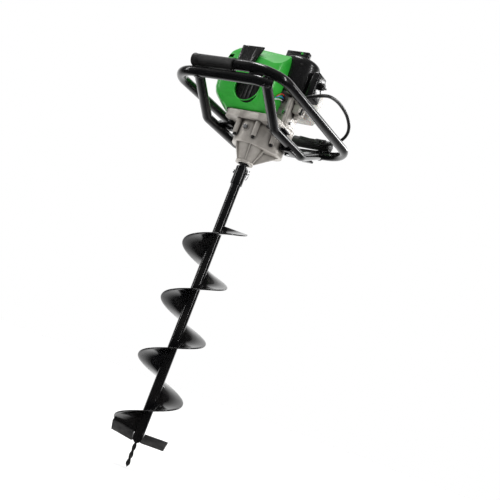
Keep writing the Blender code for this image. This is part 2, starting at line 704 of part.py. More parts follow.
def air_filter():
    """An open-bottomed cover beside the carburettor, with a foam block inside and the knob that holds it."""
    x0, x1 = FILTER_X
    y0, y1 = FILTER_Y
    z0, z1 = FILTER_Z
    wall, knob_y, knob_z = 0.0018, *KNOB_AT
    outer = bevelled(box((x0, y0, z0), (x1, y1, z1)), 0.007, 3)
    hollow = box((x0 + wall, y0 + wall, z0 - 0.01), (x1 - wall, y1 - wall, z1 - 0.006))
    stud = rod((x0 + 0.01, knob_y, knob_z), (x1 + 0.01, knob_y, knob_z), 0.0026, 12)
    place(cut(outer, hollow, stud), "air_filter_cover", "black_plastic")
    foam = box((x0 + 0.004, y0 + 0.004, z0 + 0.002), (x1 - 0.004, y1 - 0.004, 0.249))
    place(foam, "air_filter_foam", "rubber")
    profile = [(0, 0.0105), (0.0085, 0.0105), (0.0095, 0.0085), (0.0095, 0.0), (0.0022, 0.0), (0.0022, -0.006),
               (0, -0.006)]
    knob = along_x(turned(profile, 18))
    knob.data.transform(Matrix.Rotation(math.pi, 4, "Z"))
    wing = box((0.004, -0.013, -0.0025), (0.013, 0.013, 0.0025))
    place(union(knob, bevelled(wing, 0.001, 1)), "filter_knob", "black_plastic", at=(x1 + GAP, knob_y, knob_z))


CHOKE_AT = (0.103, 0.0115, 0.186)


def choke():
    boss = rod((0, 0, 0), (0, -0.006, 0), 0.0045, 14)
    arm = box((-0.0025, -0.0055, -0.002), (0.0025, -0.0025, -0.022))
    lower_tip = rod((0, -0.0095, -0.022), (0, -0.0015, -0.022), 0.0036, 12)
    place(union(boss, fixed(arm), lower_tip), "choke_lever", "black_plastic", at=CHOKE_AT)


def fixed(obj):
    """Turn a box's faces outward after it was built from swapped corners."""
    bm = bmesh.new()
    bm.from_mesh(obj.data)
    bmesh.ops.recalc_face_normals(bm, faces=bm.faces)
    bm.to_mesh(obj.data)
    bm.free()
    return obj


TANK_X = (-0.006, 0.0865)
TANK_Y = (0.0812, 0.1275)
TANK_Z = (0.181, 0.270)
CAP_AT = (0.030, 0.1045)


def fuel_tank():
    outer = bevelled(box(*zip(TANK_X, TANK_Y, TANK_Z)), 0.010, 2)
    neck = ring_cutter(0.0145, TANK_Z[1] - 0.004, TANK_Z[1] + 0.012, CAP_AT, 28)
    lug = box((0.028, 0.0568, 0.1840), (0.060, TANK_Y[0] + 0.002, 0.1985))
    tank = union(outer, neck, lug)
    wall = 0.002
    walls = [(low + wall, high - wall) for low, high in (TANK_X, TANK_Y, TANK_Z)]
    inside = bevelled(box(*zip(*walls)), 0.008, 2)
    mouth = ring_cutter(0.0120, TANK_Z[1] - 0.01, TANK_Z[1] + 0.03, CAP_AT, 28)
    place(cut(tank, inside, mouth), "fuel_tank", "tank_plastic")
    place_cap()


def place_cap():
    """A screw cap that slips over the tank's neck, with finger flutes down its side."""
    cap = turned([(0, 0.0340), (0.0180, 0.0340), (0.0192, 0.0325), (0.0192, 0.0010), (0.0150, 0.0010),
                  (0.0150, 0.0150), (0, 0.0150)], 24)
    ridges = []
    for i in range(8):
        notch = rod((0.0205, 0, -0.01), (0.0205, 0, 0.030), 0.0024, 6)
        notch.data.transform(Matrix.Rotation(2 * math.pi * i / 8, 4, "Z"))
        ridges.append(notch)
    place(cut(cap, *ridges), "fuel_cap", "black_plastic", at=(*CAP_AT, TANK_Z[1]))


def frame_tubes():
    """Two bent tubes that lie over and under each other along the front and cross again at the rear."""
    front_points = [(-GRIP_END_X, FRONT_Y, FRONT_GRIP_Z), (RIGHT_X, FRONT_Y, FRONT_GRIP_Z),
                    (RIGHT_X, REAR_Y, RIGHT_CORNER_Z), (-0.020, REAR_Y, REAR_RAIL_Z)]
    rear_points = [(GRIP_END_X, REAR_Y, REAR_GRIP_Z), (-0.050, REAR_Y, REAR_GRIP_Z),
                   (LEFT_X, REAR_Y, FAR_CORNER_Z), (LEFT_X, FRONT_Y, FRONT_RAIL_Z),
                   (RAIL_BEND_X, FRONT_Y, FRONT_RAIL_Z), (*RAIL_END, FRONT_RAIL_Z)]
    front = filleted(front_points, (BEND_R, BEND_R))
    rear = filleted(rear_points, (0.05, 0.045, BEND_R, 0.045))
    plate_low, plate_high = FRONT_RAIL_Z + TUBE_R + GAP, FRONT_GRIP_Z - TUBE_R + 0.001
    gusset = box((0.085, FRONT_Y - 0.0015, plate_low), (0.125, FRONT_Y + 0.0015, plate_high))
    place(union(apply_modifiers(tube(front, TUBE_R, 4, TUBE_WALL)), gusset), "front_tube", "black_paint")
    place(tube(rear, TUBE_R, 4, TUBE_WALL), "rear_tube", "black_paint")
    return front, rear


def cradle_tubes(front, rear):
    """Two bent legs; their ends are coped to sit round the rails that they are welded to."""
    ends = {
        "cradle_left": (-1, -CRADLE_TOP_NEAR, -0.118, FRONT_RAIL_Z, 0.1405),
        "cradle_right": (1, CRADLE_TOP_FAR, 0.060, FRONT_RAIL_Z, REAR_RAIL_Z + 0.004),
    }
    for name, (side, front_x, rear_x, front_z, rear_z) in ends.items():
        x = side * CRADLE_X
        points = [(front_x, FRONT_Y, front_z), (x, -CRADLE_HALF_RUN, CRADLE_Z), (x, CRADLE_HALF_RUN, CRADLE_Z),
                  (rear_x, REAR_Y, rear_z)]
        leg = apply_modifiers(tube(filleted(points, (CRADLE_BEND_R,) * 2), TUBE_R, 4, TUBE_WALL))
        rails = [apply_modifiers(tube(path, TUBE_R + 2 * GAP, 4)) for path in (front, rear)]
        place(cut(leg, *rails), name, "black_paint")


def bracket(name, x, y, z, lip_x, lip_top):
    """A flat bar on a cradle tube, with an upturned lip against the gearbox."""
    bar = box((x[0], y[0], z[0]), (x[1], y[1], z[1]))
    lip = box((lip_x[0], y[0], z[1] - 0.0005), (lip_x[1], y[1], lip_top))
    place(bevelled(union(bar, lip), 0.0006, 1), name, "black_paint")


def frame_fittings():
    top_bar = (0.0908, 0.0960)
    bracket("bracket_left", (-0.114, -0.0655), (-0.026, 0.026), top_bar, (-0.080, -0.0655), BODY_TOP)
    bracket("bracket_front_right", (0.060, 0.114), (-0.056, -0.0225), top_bar, (0.060, 0.074), BODY_TOP)
    bracket("bracket_rear_right", (0.0800, 0.114), (0.006, 0.050), (0.0595, 0.0650), (0.0800, 0.0845), 0.0900)
    for name, x, y in (("bracket_bolt_left", -0.0725, 0.0), ("bracket_bolt_right", 0.067, -0.039)):
        place(rod((x, y, 0.0850), (x, y, 0.0905), 0.0062, 6), name, "steel")


def grip(name, start_x, inward, axis_y, axis_z, flare):
    """A sleeve with a lip at each end, round a tube that runs along X."""
    lip = GRIP_R + flare
    bore = TUBE_R + GAP
    profile = [(0.0, -0.0030), (lip, -0.0030), (lip, 0.0015), (GRIP_R, 0.0040), (GRIP_R, GRIP_LENGTH - 0.006),
               (lip, GRIP_LENGTH - 0.004), (lip, GRIP_LENGTH), (bore, GRIP_LENGTH), (bore, -GAP), (0.0, -GAP)]
    sleeve = turned(profile[::-1], 18)
    turn = Matrix.Rotation(math.radians(90 * inward), 4, "Y")
    sleeve.data.transform(turn)
    place(sleeve, name, "rubber", at=(start_x, axis_y, axis_z))


def throttle_controls():
    grip("plain_grip", -GRIP_END_X, 1, FRONT_Y, FRONT_GRIP_Z, 0.0010)
    grip("throttle_grip", GRIP_END_X, -1, REAR_Y, REAR_GRIP_Z, 0.0004)
    face = REAR_Y - GRIP_R - GAP
    low, high = REAR_GRIP_Z - 0.009, REAR_GRIP_Z + 0.009
    body = bevelled(box((0.042, face - 0.012, low), (0.077, face - 0.0007, high)), 0.002, 1)
    slot = box((0.03, face - 0.02, REAR_GRIP_Z - 0.0055), (0.062, face - 0.0025, REAR_GRIP_Z + 0.0055))
    well = box((0.0636, face - 0.020, REAR_GRIP_Z - 0.0042), (0.0728, face - 0.0060, REAR_GRIP_Z + 0.0042))
    place(cut(body, slot, well), "trigger_housing", "black_plastic")
    outline = [(0.004, -0.004), (0.004, 0.003), (-0.004, 0.004), (-0.030, 0.0005), (-0.056, -0.0085),
               (-0.058, -0.0125), (-0.050, -0.0125), (-0.028, -0.0075), (-0.004, -0.0045)]
    lever = extruded([outline], -0.0050, 0.0050)
    pivot = (0.054, face - 0.0082, REAR_GRIP_Z)
    place(bevelled(lever, 0.0008, 1), "throttle_trigger", "black_plastic", at=pivot)
    clamp_top = REAR_RAIL_Z - TUBE_R - 2 * GAP
    clamp = box((0.006, REAR_Y - 0.011, clamp_top - 0.0089), (0.042, REAR_Y + 0.011, clamp_top))
    place(bevelled(clamp, 0.0025, 2), "rail_clamp", "black_plastic")


def stop_switch():
    face = REAR_Y - GRIP_R - 0.0016
    rocker = box((-0.0045, -0.0035, -0.0035), (0.0045, 0.0035, 0.0035))
    place(bevelled(rocker, 0.001, 1), "stop_switch", "black_plastic", at=(0.0682, face - 0.0117, REAR_GRIP_Z))


CONDUIT_ROUTE = (
    (0.0890, 0.0000, 0.1965), (0.1000, -0.0085, 0.1990), (0.1135, -0.0130, 0.2028), (0.1276, -0.0122, 0.2083),
    (0.1402, -0.0065, 0.2150), (0.1501, 0.0035, 0.2220), (0.1559, 0.0169, 0.2285), (0.1575, 0.0340, 0.2335),
    (0.1578, 0.0540, 0.2375), (0.1578, 0.0760, 0.2400), (0.1575, 0.0990, 0.2405), (0.1575, 0.1220, 0.2390),
    (0.1570, 0.1440, 0.2355), (0.1555, 0.1650, 0.2295), (0.1520, 0.1850, 0.2220), (0.1450, 0.2030, 0.2130),
    (0.1340, 0.2170, 0.2035), (0.1200, 0.2265, 0.1945), (0.1045, 0.2307, 0.1865), (0.0910, 0.2315, 0.1815),
    (0.0781, 0.2314, 0.1801),
)
CONDUIT_R = 0.0045
WIRE_ROUTES = (
    ((0.0505, -0.0120, 0.1960), (0.0510, -0.0230, 0.1985), (0.0508, -0.0340, 0.1930), (0.0506, -0.0470, 0.1800)),
    ((0.0505, -0.0120, 0.1900), (0.0520, -0.0250, 0.1900), (0.0520, -0.0380, 0.1850), (0.0508, -0.0500, 0.1750)),
    ((0.0505, -0.0120, 0.1840), (0.0510, -0.0240, 0.1820), (0.0515, -0.0380, 0.1770), (0.0506, -0.0520, 0.1700)),
)


def cables():
    route = smooth_path(CONDUIT_ROUTE, 0.011)
    place(tube(route, CONDUIT_R, 2), "throttle_conduit", "black_plastic")
    plug = bevelled(box((0.0480, -0.0160, 0.1800), (0.0530, -0.0095, 0.2000)), 0.001, 1)
    strands = [apply_modifiers(tube(smooth_path(route, 0.006), 0.0011, 1)) for route in WIRE_ROUTES]
    place(union(plug, *strands), "wire_harness", "red_wire")


def pin_hole():
    return rod((-0.03, 0, PIN_Z), (0.03, 0, PIN_Z), PIN_R + GAP, 14)


def auger_head():
    """Output shaft and the sleeve that pins the bit to it."""
    shaft = turned([(0, 0.1105), (0.0075, 0.1105), (0.0075, 0.0790), (OUTPUT_SHAFT_R, 0.0790),
                    (OUTPUT_SHAFT_R, -0.0420), (0, -0.0420)], 24)
    place(cut(shaft, pin_hole()), "output_shaft", "dark_steel")
    bore, shoulder = OUTPUT_SHAFT_R + GAP, BIT_SHAFT_TOP + GAP
    sleeve = turned([(SLEEVE_R - 0.0012, SLEEVE_TOP), (SLEEVE_R, SLEEVE_TOP - 0.0012), (SLEEVE_R, SLEEVE_LOW),
                     (BIT_SHAFT_R + GAP, SLEEVE_LOW), (BIT_SHAFT_R + GAP, shoulder), (bore, shoulder),
                     (bore, SLEEVE_TOP)], 24, closed=True)
    place(cut(sleeve, pin_hole()), "coupling_sleeve", "black_paint")
    pin = rod((-0.0175, 0, PIN_Z), (0.0235, 0, PIN_Z), PIN_R, 14)
    head = rod((-0.0205, 0, PIN_Z), (-0.0165, 0, PIN_Z), 0.0055, 14)
    clip_hole = rod((CLIP_X, 0, PIN_Z - 0.006), (CLIP_X, 0, PIN_Z + 0.006), 0.0013, 8)
    place(cut(union(pin, head), clip_hole), "coupling_pin", "steel")
    hairpin = [(CLIP_X, 0, -0.0150), (CLIP_X, 0, -0.0330), (0.0212, 0, -0.0400), (0.0240, 0, -0.0400),
               (0.0262, 0, -0.0330), (0.0266, 0, -0.0240), (0.0250, 0, -0.0175), (0.0258, 0, -0.0150)]
    place(tube(smooth_path(hairpin, 0.0035), 0.0009, 0), "spring_clip", "steel")


def flight_height(turns):
    return FLIGHT_TOP - FLIGHT_PITCH * turns - FLIGHT_PITCH_GROWTH * turns * turns


def helical_sheet(first_turn, last_turn, steps_per_turn=24):
    """A right-handed strip round the shaft, thickened to sheet metal."""
    count = round((last_turn - first_turn) * steps_per_turn)
    bm = bmesh.new()
    rows = []
    for i in range(count + 1):
        turns = first_turn + (last_turn - first_turn) * i / count
        angle = FLIGHT_START_ANGLE - 2 * math.pi * turns
        height = flight_height(turns)
        radii = (BIT_SHAFT_R + 2 * GAP, FLIGHT_R)
        rows.append([bm.verts.new((r * math.cos(angle), r * math.sin(angle), height)) for r in radii])
    for a, b in zip(rows, rows[1:]):
        bm.faces.new((a[0], a[1], b[1], b[0]))
    sheet = mesh_object(bm)
    wall = sheet.modifiers.new("sheet", "SOLIDIFY")
    wall.thickness = SHEET
    wall.offset = 0
    return apply_modifiers(sheet)


def auger_bit():
    place(ring(BIT_SHAFT_R, 0.0096, BIT_SHAFT_LOW, BIT_SHAFT_TOP), "bit_shaft", "black_paint")
    place(helical_sheet(0, FLIGHT_TURNS), "flight", "black_paint")
    blades()
    pilot()


BLADE_ANGLE = math.radians(17.5)
BLADE_REACH = 0.0285
BLADE_TILT = math.radians(45)
BLADE_THICK = 0.005


def blades():
    """Two cutting blades across the foot of the shaft, each tilted down in the direction of cut."""
    rows = (("blade_right", 0, -0.7275, 0.035, 0.0), ("blade_left", math.pi, -0.7330, 0.13, -0.0055))
    for name, turn, height, rise, heel in rows:
        inner = BIT_SHAFT_R + 0.0022
        outline = [(inner, heel), (inner, BLADE_REACH), (0.0765, BLADE_REACH), (0.0765, heel)]
        blade = extruded([outline], -BLADE_THICK / 2, BLADE_THICK / 2)
        for vertex in blade.data.vertices:
            if vertex.co.y > BLADE_REACH / 2 and vertex.co.z > 0:
                vertex.co.y -= 0.006
        blade.data.transform(Matrix.Rotation(math.pi + BLADE_TILT, 4, "X") @ Matrix.Scale(-1, 4, (0, 0, 1)))
        blade.data.transform(Matrix.Rotation(-math.atan(rise), 4, "Y"))
        blade.data.transform(Matrix.Rotation(BLADE_ANGLE + turn, 4, "Z"))
        blade.data.transform(Matrix.Translation((0, 0, height)))
        place(fixed(blade), name, "dark_steel")


def pilot():
    """A twisted flat point: square sections that turn as they go down to the tip."""
    bm = bmesh.new()
    loops = []
    levels = 21
    top = BIT_SHAFT_LOW + 0.008
    for i in range(levels):
        t = i / (levels - 1)
        z = top + (PILOT_TIP + 0.007 - top) * t
        angle = 2 * math.pi * 2.6 * t
        corners = ((0.0052, 0.0026), (-0.0052, 0.0026), (-0.0052, -0.0026), (0.0052, -0.0026))
        c, s = math.cos(angle), math.sin(angle)
        loops.append([bm.verts.new((x * c - y * s, x * s + y * c, z)) for x, y in corners])
    for a, b in zip(loops, loops[1:]):
        for i in range(4):
            j = (i + 1) % 4
            bm.faces.new((a[i], a[j], b[j], b[i]))
    bm.faces.new(loops[0])
    tip = bm.verts.new((0, 0, PILOT_TIP))
    for i in range(4):
        bm.faces.new((loops[-1][i], loops[-1][(i + 1) % 4], tip))
    point = mesh_object(bm)
    stem_end = BIT_SHAFT_LOW - 0.004
    stem = turned([(0, top + 0.016), (0.0092, top + 0.016), (0.0092, BIT_SHAFT_LOW + 0.001), (0.0060, stem_end),
                   (0, stem_end)], 20)
    place(union(stem, point), "pilot_point", "dark_steel")


gearbox_housing()
clutch_housing()
gearbox_screws()
oil_plug()
output_bearing()
gear_train()
clutch()
crankcase()
cylinder_and_piston()
crankshaft()
flywheel()
starter_reel()
starter_housing()
starter_handle()
engine_shroud()
shroud_panel()
muffler()
carburettor()
air_filter()
choke()
fuel_tank()
cradle_tubes(*frame_tubes())
frame_fittings()
throttle_controls()
stop_switch()
cables()
auger_head()
auger_bit()
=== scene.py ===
"""Looks for the petrol drilling auger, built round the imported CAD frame.

Heights named here are measured up from the gearbox's lowest face; every piece is then lowered by BASE,
so that it lands in the frame's own coordinates.
"""

import json
import math

import bmesh
import bpy
from mathutils import Matrix, Vector


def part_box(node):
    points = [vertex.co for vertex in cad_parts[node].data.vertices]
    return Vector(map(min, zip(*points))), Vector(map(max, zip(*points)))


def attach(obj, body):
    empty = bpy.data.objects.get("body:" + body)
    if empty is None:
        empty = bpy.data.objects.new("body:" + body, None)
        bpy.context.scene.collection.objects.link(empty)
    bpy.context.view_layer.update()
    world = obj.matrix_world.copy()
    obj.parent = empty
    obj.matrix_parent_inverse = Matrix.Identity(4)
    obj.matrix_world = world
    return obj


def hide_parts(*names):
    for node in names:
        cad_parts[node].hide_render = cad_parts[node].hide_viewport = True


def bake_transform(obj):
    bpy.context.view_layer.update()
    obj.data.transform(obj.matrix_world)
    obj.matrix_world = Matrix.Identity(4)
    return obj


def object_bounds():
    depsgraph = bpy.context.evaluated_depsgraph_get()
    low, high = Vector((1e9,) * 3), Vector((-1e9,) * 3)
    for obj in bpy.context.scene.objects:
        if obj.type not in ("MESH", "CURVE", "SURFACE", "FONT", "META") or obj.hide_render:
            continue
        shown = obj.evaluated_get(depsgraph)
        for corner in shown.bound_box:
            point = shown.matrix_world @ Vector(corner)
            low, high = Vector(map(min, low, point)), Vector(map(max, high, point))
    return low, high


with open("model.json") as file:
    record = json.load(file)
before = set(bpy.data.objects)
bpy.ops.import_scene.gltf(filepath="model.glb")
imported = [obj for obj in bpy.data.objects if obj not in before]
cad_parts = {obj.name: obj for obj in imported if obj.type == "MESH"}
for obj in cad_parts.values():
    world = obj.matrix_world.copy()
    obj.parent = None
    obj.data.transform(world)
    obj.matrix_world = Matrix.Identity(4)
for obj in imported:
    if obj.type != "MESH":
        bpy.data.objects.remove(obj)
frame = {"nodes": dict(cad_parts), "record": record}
CAD_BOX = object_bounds()

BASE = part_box("gearbox_housing")[0][2]
GAP = 0.0003

# Frame tubes
TUBE_R = 0.0125
FRONT_Y = -0.2425
REAR_Y = 0.253
LEFT_X = -0.141
RIGHT_X = 0.157
FRONT_GRIP_Z = 0.160
FRONT_RAIL_Z = 0.1303
REAR_GRIP_Z = 0.180
REAR_RAIL_Z = 0.1465
RIGHT_CORNER_Z = 0.1557
FAR_CORNER_Z = 0.136
RAIL_BEND_X = 0.117
RAIL_END = (0.146, -0.2230)
BEND_R = 0.072
GRIP_END_X = 0.080
GRIP_LENGTH = 0.118
GRIP_R = 0.0153
CRADLE_X = 0.1023
CRADLE_Z = 0.078
CRADLE_HALF_RUN = 0.083

# Engine
ENGINE = Vector((0.042, 0.028))
DRUM_R = 0.052
DRUM_TOP = 0.318

# Screw bit
BIT_SHAFT_R = 0.0128
BIT_SHAFT_BORE_R = 0.0096
BIT_SHAFT_TOP = -0.0445
BIT_SHAFT_LOW = -0.748
SLEEVE_R = 0.0158
FLIGHT_R = 0.075
FLIGHT_TOP = -0.1715
FLIGHT_PITCH = 0.1443
FLIGHT_PITCH_GROWTH = 0.0027
FLIGHT_TURNS = 3.54
FLIGHT_START_ANGLE = math.radians(31.7)
FLIGHT_SHEET = 0.0032
FLIGHT_STEPS_PER_TURN = 96
WEB_ANGLE = math.radians(197.4)
PILOT_TURNS = 1.7
PILOT_TIP = -0.814

# Engine cover: height and how far its outline is drawn in
SHROUD_ROWS = (
    (0.1275, 0.030), (0.1290, 0.027), (0.136, 0.021), (0.150, 0.0105), (0.160, 0.0055), (0.172, 0.002),
    (0.190, 0.0004), (0.210, 0.0), (0.238, 0.0006), (0.252, 0.002), (0.266, 0.0042), (0.278, 0.007),
    (0.287, 0.0107), (0.293, 0.014), (0.2975, 0.0185), (0.302, 0.024),
)
SHROUD_X = (-0.131, 0.046)
SHROUD_Y = (-0.082, 0.076)
SHROUD_CORNER_R = 0.024
SHROUD_WALL = 0.0022
OPENING_X = -0.021
OPENING_Z = 0.180

# Flat faces on the engine cover: a point on each and the way that it faces
SHROUD_FACETS = (
    ((-0.119, -0.070, 0.158), (-0.50, -0.30, -0.81)),
    ((0.012, -0.070, 0.268), (0.16, -0.70, 0.70)),
    ((0.040, -0.070, 0.262), (0.80, -0.52, 0.30)),
    ((-0.100, -0.070, 0.286), (-0.52, -0.30, 0.80)),
)

# Camera, as angles round the screw's axis
VIEW_AZIMUTH = math.radians(31.725)
VIEW_ELEVATION = math.radians(-9.631)
VIEW_ROLL = math.radians(20.788)
VIEW_DISTANCE = 2.2727
VIEW_ASIDE = 0.094
VIEW_LOW = -0.2046
LENS = 64.15

# Studio: the way to the pale screen, and how bright the screen and the overhead light are
BACKDROP = (-0.526, 0.851, 0.05)
SCREEN_STRENGTH = 1.7
SOFT_STRENGTH = 1.25


def camera():
    """The camera looks up a little at the machine, which leans to one side in the picture."""
    right = Vector((math.cos(VIEW_AZIMUTH), math.sin(VIEW_AZIMUTH), 0))
    level = math.cos(VIEW_ELEVATION)
    back = Vector((math.sin(VIEW_AZIMUTH) * level, -math.cos(VIEW_AZIMUTH) * level, math.sin(VIEW_ELEVATION)))
    up = right.cross(-back)
    turned_right = right * math.cos(VIEW_ROLL) + up * math.sin(VIEW_ROLL)
    turned_up = -right * math.sin(VIEW_ROLL) + up * math.cos(VIEW_ROLL)
    target = right * VIEW_ASIDE + Vector((0, 0, VIEW_LOW + BASE))
    data = bpy.data.cameras.new("camera")
    data.lens = LENS
    data.sensor_width = 36
    data.clip_start = 0.05
    obj = bpy.data.objects.new("camera", data)
    obj.matrix_world = (Matrix.Translation(target + back * VIEW_DISTANCE)
                        @ Matrix((turned_right, turned_up, back)).transposed().to_4x4())
    bpy.context.scene.collection.objects.link(obj)
    bpy.context.scene.camera = obj


# ---------------------------------------------------------------- materials

class Nodes:
    """A short way to wire a material's nodes."""

    def __init__(self, name):
        self.material = bpy.data.materials.new(name)
        self.material.use_nodes = True
        self.tree = self.material.node_tree
        self.shader = self.tree.nodes["Principled BSDF"]
        self.place = self.add("ShaderNodeTexCoord").outputs["Object"]

    def add(self, kind, **values):
        node = self.tree.nodes.new(kind)
        for key, value in values.items():
            setattr(node, key, value)
        return node

    def join(self, source, target):
        self.tree.links.new(source, target)

    def noise(self, scale, detail=4.0, roughness=0.6, vector=None):
        node = self.add("ShaderNodeTexNoise")
        node.inputs["Scale"].default_value = scale
        node.inputs["Detail"].default_value = detail
        node.inputs["Roughness"].default_value = roughness
        self.join(vector or self.place, node.inputs["Vector"])
        return node.outputs["Fac"]

    def voronoi(self, scale):
        node = self.add("ShaderNodeTexVoronoi")
        node.inputs["Scale"].default_value = scale
        self.join(self.place, node.inputs["Vector"])
        return node.outputs["Distance"]

    def ramp(self, fac, low, high, color_low, color_high):
        node = self.add("ShaderNodeValToRGB")
        first, last = node.color_ramp.elements
        first.position, last.position = low, high
        first.color = (*color_low, 1)
        last.color = (*color_high, 1)
        self.join(fac, node.inputs["Fac"])
        return node.outputs["Color"]

    def spread(self, fac, low, high):
        node = self.add("ShaderNodeMapRange")
        node.inputs["From Min"].default_value = 0.3
        node.inputs["From Max"].default_value = 0.7
        node.inputs["To Min"].default_value = low
        node.inputs["To Max"].default_value = high
        self.join(fac, node.inputs["Value"])
        return node.outputs["Result"]

    def bump(self, height, strength, distance, after=None):
        node = self.add("ShaderNodeBump")
        node.inputs["Strength"].default_value = strength
        node.inputs["Distance"].default_value = distance
        self.join(height, node.inputs["Height"])
        if after:
            self.join(after, node.inputs["Normal"])
        return node.outputs["Normal"]

    def crevice_shaded(self, lit_colour, reach, shade_colour):
        """Paints shade into a colour: darkens it where surfaces come close together, as in crevices and
        joints.
        """
        # painted shade: ambient occlusion makes a mask that mixes the colour towards a dark shade colour
        near = self.add("ShaderNodeAmbientOcclusion")
        near.inputs["Distance"].default_value = reach
        shade_mask = self.ramp(near.outputs["AO"], 0.35, 0.92, (1, 1, 1), (0, 0, 0))
        mix = self.add("ShaderNodeMix", data_type="RGBA")
        self.join(shade_mask, mix.inputs["Factor"])
        self.join(lit_colour, mix.inputs["A"])
        mix.inputs["B"].default_value = (*shade_colour, 1)
        return mix.outputs["Result"]

    def set(self, **values):
        for key, value in values.items():
            self.shader.inputs[key.replace("_", " ")].default_value = value

    def feed(self, **sources):
        for key, source in sources.items():
            self.join(source, self.shader.inputs[key.replace("_", " ")])


def powder_coat():
    n = Nodes("powder_coat")
    n.feed(Base_Color=n.ramp(n.noise(14), 0.35, 0.7, (0.0020, 0.0020, 0.0022), (0.0045, 0.0045, 0.005)))
    n.feed(Roughness=n.spread(n.noise(30), 0.13, 0.21))
    n.feed(Normal=n.bump(n.noise(900, 2), 0.05, 0.0003))
    n.set(Specular_IOR_Level=0.5)
    return n.material


def gloss_paint():
    """Thick black enamel with slight runs and dust in it."""
    n = Nodes("gloss_paint")
    n.feed(Base_Color=n.ramp(n.noise(9), 0.4, 0.75, (0.0025, 0.0025, 0.003), (0.009, 0.0085, 0.008)))
    n.feed(Roughness=n.spread(n.noise(18), 0.10, 0.20))
    n.feed(Normal=n.bump(n.noise(22, 2), 0.10, 0.002))
    n.set(Specular_IOR_Level=0.5)
    return n.material


def blade_steel():
    n = Nodes("blade_steel")
    n.feed(Base_Color=n.ramp(n.noise(60), 0.35, 0.7, (0.020, 0.020, 0.021), (0.050, 0.049, 0.047)))
    n.feed(Roughness=n.spread(n.noise(140), 0.28, 0.42))
    n.feed(Normal=n.bump(n.noise(500, 3), 0.2, 0.0005))
    n.set(Specular_IOR_Level=0.5)
    return n.material


def cast_aluminium():
    """Sand-textured die casting, a little warm, with painted shade that darkens it in crevices."""
    n = Nodes("cast_aluminium")
    skin = n.ramp(n.noise(35, 6), 0.3, 0.72, (0.35, 0.325, 0.295), (0.56, 0.53, 0.49))
    # painted shade: dark brown in crevices and where parts meet, within 10 mm
    n.feed(Base_Color=n.crevice_shaded(skin, 0.010, (0.045, 0.038, 0.032)))
    n.feed(Roughness=n.spread(n.noise(80), 0.30, 0.44))
    grain = n.bump(n.noise(1600, 3), 0.35, 0.0005)
    n.feed(Normal=n.bump(n.noise(160, 3), 0.18, 0.001, grain))
    n.set(Metallic=0.45)
    return n.material


def bright_zinc():
    n = Nodes("bright_zinc")
    n.feed(Base_Color=n.ramp(n.noise(50), 0.3, 0.7, (0.50, 0.51, 0.53), (0.74, 0.74, 0.73)))
    n.feed(Roughness=n.spread(n.noise(200), 0.18, 0.32))
    n.feed(Normal=n.bump(n.noise(900, 2), 0.12, 0.0003))
    n.set(Metallic=1.0)
    return n.material


def black_oxide():
    n = Nodes("black_oxide")
    n.feed(Base_Color=n.ramp(n.noise(70), 0.3, 0.7, (0.012, 0.012, 0.013), (0.035, 0.034, 0.033)))
    n.feed(Roughness=n.spread(n.noise(160), 0.25, 0.4))
    n.feed(Normal=n.bump(n.noise(700, 2), 0.15, 0.0003))
    n.set(Metallic=0.5)
    return n.material


def green_plastic():
    n = Nodes("green_plastic")
    n.feed(Base_Color=n.ramp(n.noise(7, 3), 0.35, 0.75, (0.012, 0.265, 0.022), (0.032, 0.380, 0.034)))
    n.feed(Roughness=n.spread(n.noise(40), 0.30, 0.42))
    n.feed(Normal=n.bump(n.noise(700, 2), 0.08, 0.0004))
    n.set(Specular_IOR_Level=0.45)
    n.set(Coat_Weight=0.25, Coat_Roughness=0.15)
    return n.material


def black_plastic(name="black_plastic", low=0.16, high=0.28):
    n = Nodes(name)
    n.feed(Base_Color=n.ramp(n.noise(25), 0.35, 0.75, (0.003, 0.003, 0.0033), (0.009, 0.009, 0.0095)))
    n.feed(Roughness=n.spread(n.noise(60), low, high))
    n.feed(Normal=n.bump(n.noise(1100, 2), 0.12, 0.0003))
    n.set(Specular_IOR_Level=0.45)
    return n.material


def grip_rubber():
    """Soft rubber with a fine pebbled skin."""
    n = Nodes("grip_rubber")
    n.feed(Base_Color=n.ramp(n.noise(40), 0.3, 0.75, (0.005, 0.005, 0.005), (0.014, 0.0135, 0.013)))
    n.feed(Roughness=n.spread(n.noise(90), 0.42, 0.58))
    pebbles = n.bump(n.voronoi(900), 0.3, 0.0005)
    n.feed(Normal=n.bump(n.noise(200), 0.1, 0.0006, pebbles))
    n.set(Specular_IOR_Level=0.4)
    return n.material


def tank_plastic():
    """Milky plastic that scatters a little light under its skin."""
    n = Nodes("tank_plastic")
    n.feed(Base_Color=n.ramp(n.noise(12, 3), 0.3, 0.75, (0.40, 0.38, 0.345), (0.48, 0.46, 0.43)))
    n.feed(Roughness=n.spread(n.noise(45), 0.32, 0.45))
    n.feed(Normal=n.bump(n.noise(400, 2), 0.08, 0.0005))
    n.set(Subsurface_Weight=0.15, Subsurface_Scale=0.004)
    return n.material


def foam():
    n = Nodes("filter_foam")
    n.feed(Base_Color=n.ramp(n.voronoi(700), 0.1, 0.6, (0.01, 0.01, 0.01), (0.05, 0.05, 0.05)))
    n.feed(Normal=n.bump(n.voronoi(700), 0.6, 0.001))
    n.set(Roughness=0.9)
    return n.material


def conduit_plastic():
    """Black sleeve, slightly rough, without ridges."""
    n = Nodes("conduit_plastic")
    n.feed(Base_Color=n.ramp(n.noise(40), 0.3, 0.75, (0.004, 0.004, 0.004), (0.011, 0.011, 0.011)))
    n.feed(Roughness=n.spread(n.noise(80), 0.32, 0.45))
    n.feed(Normal=n.bump(n.noise(600, 2), 0.2, 0.0004))
    return n.material


def rope_weave():
    n = Nodes("rope_weave")
    wave = n.add("ShaderNodeTexWave", bands_direction="DIAGONAL")
    wave.inputs["Scale"].default_value = 260
    n.join(n.place, wave.inputs["Vector"])
    n.feed(Base_Color=n.ramp(wave.outputs["Fac"], 0.2, 0.8, (0.45, 0.44, 0.41), (0.74, 0.73, 0.70)))
    n.feed(Normal=n.bump(wave.outputs["Fac"], 0.7, 0.0006))
    n.set(Roughness=0.85)
    return n.material


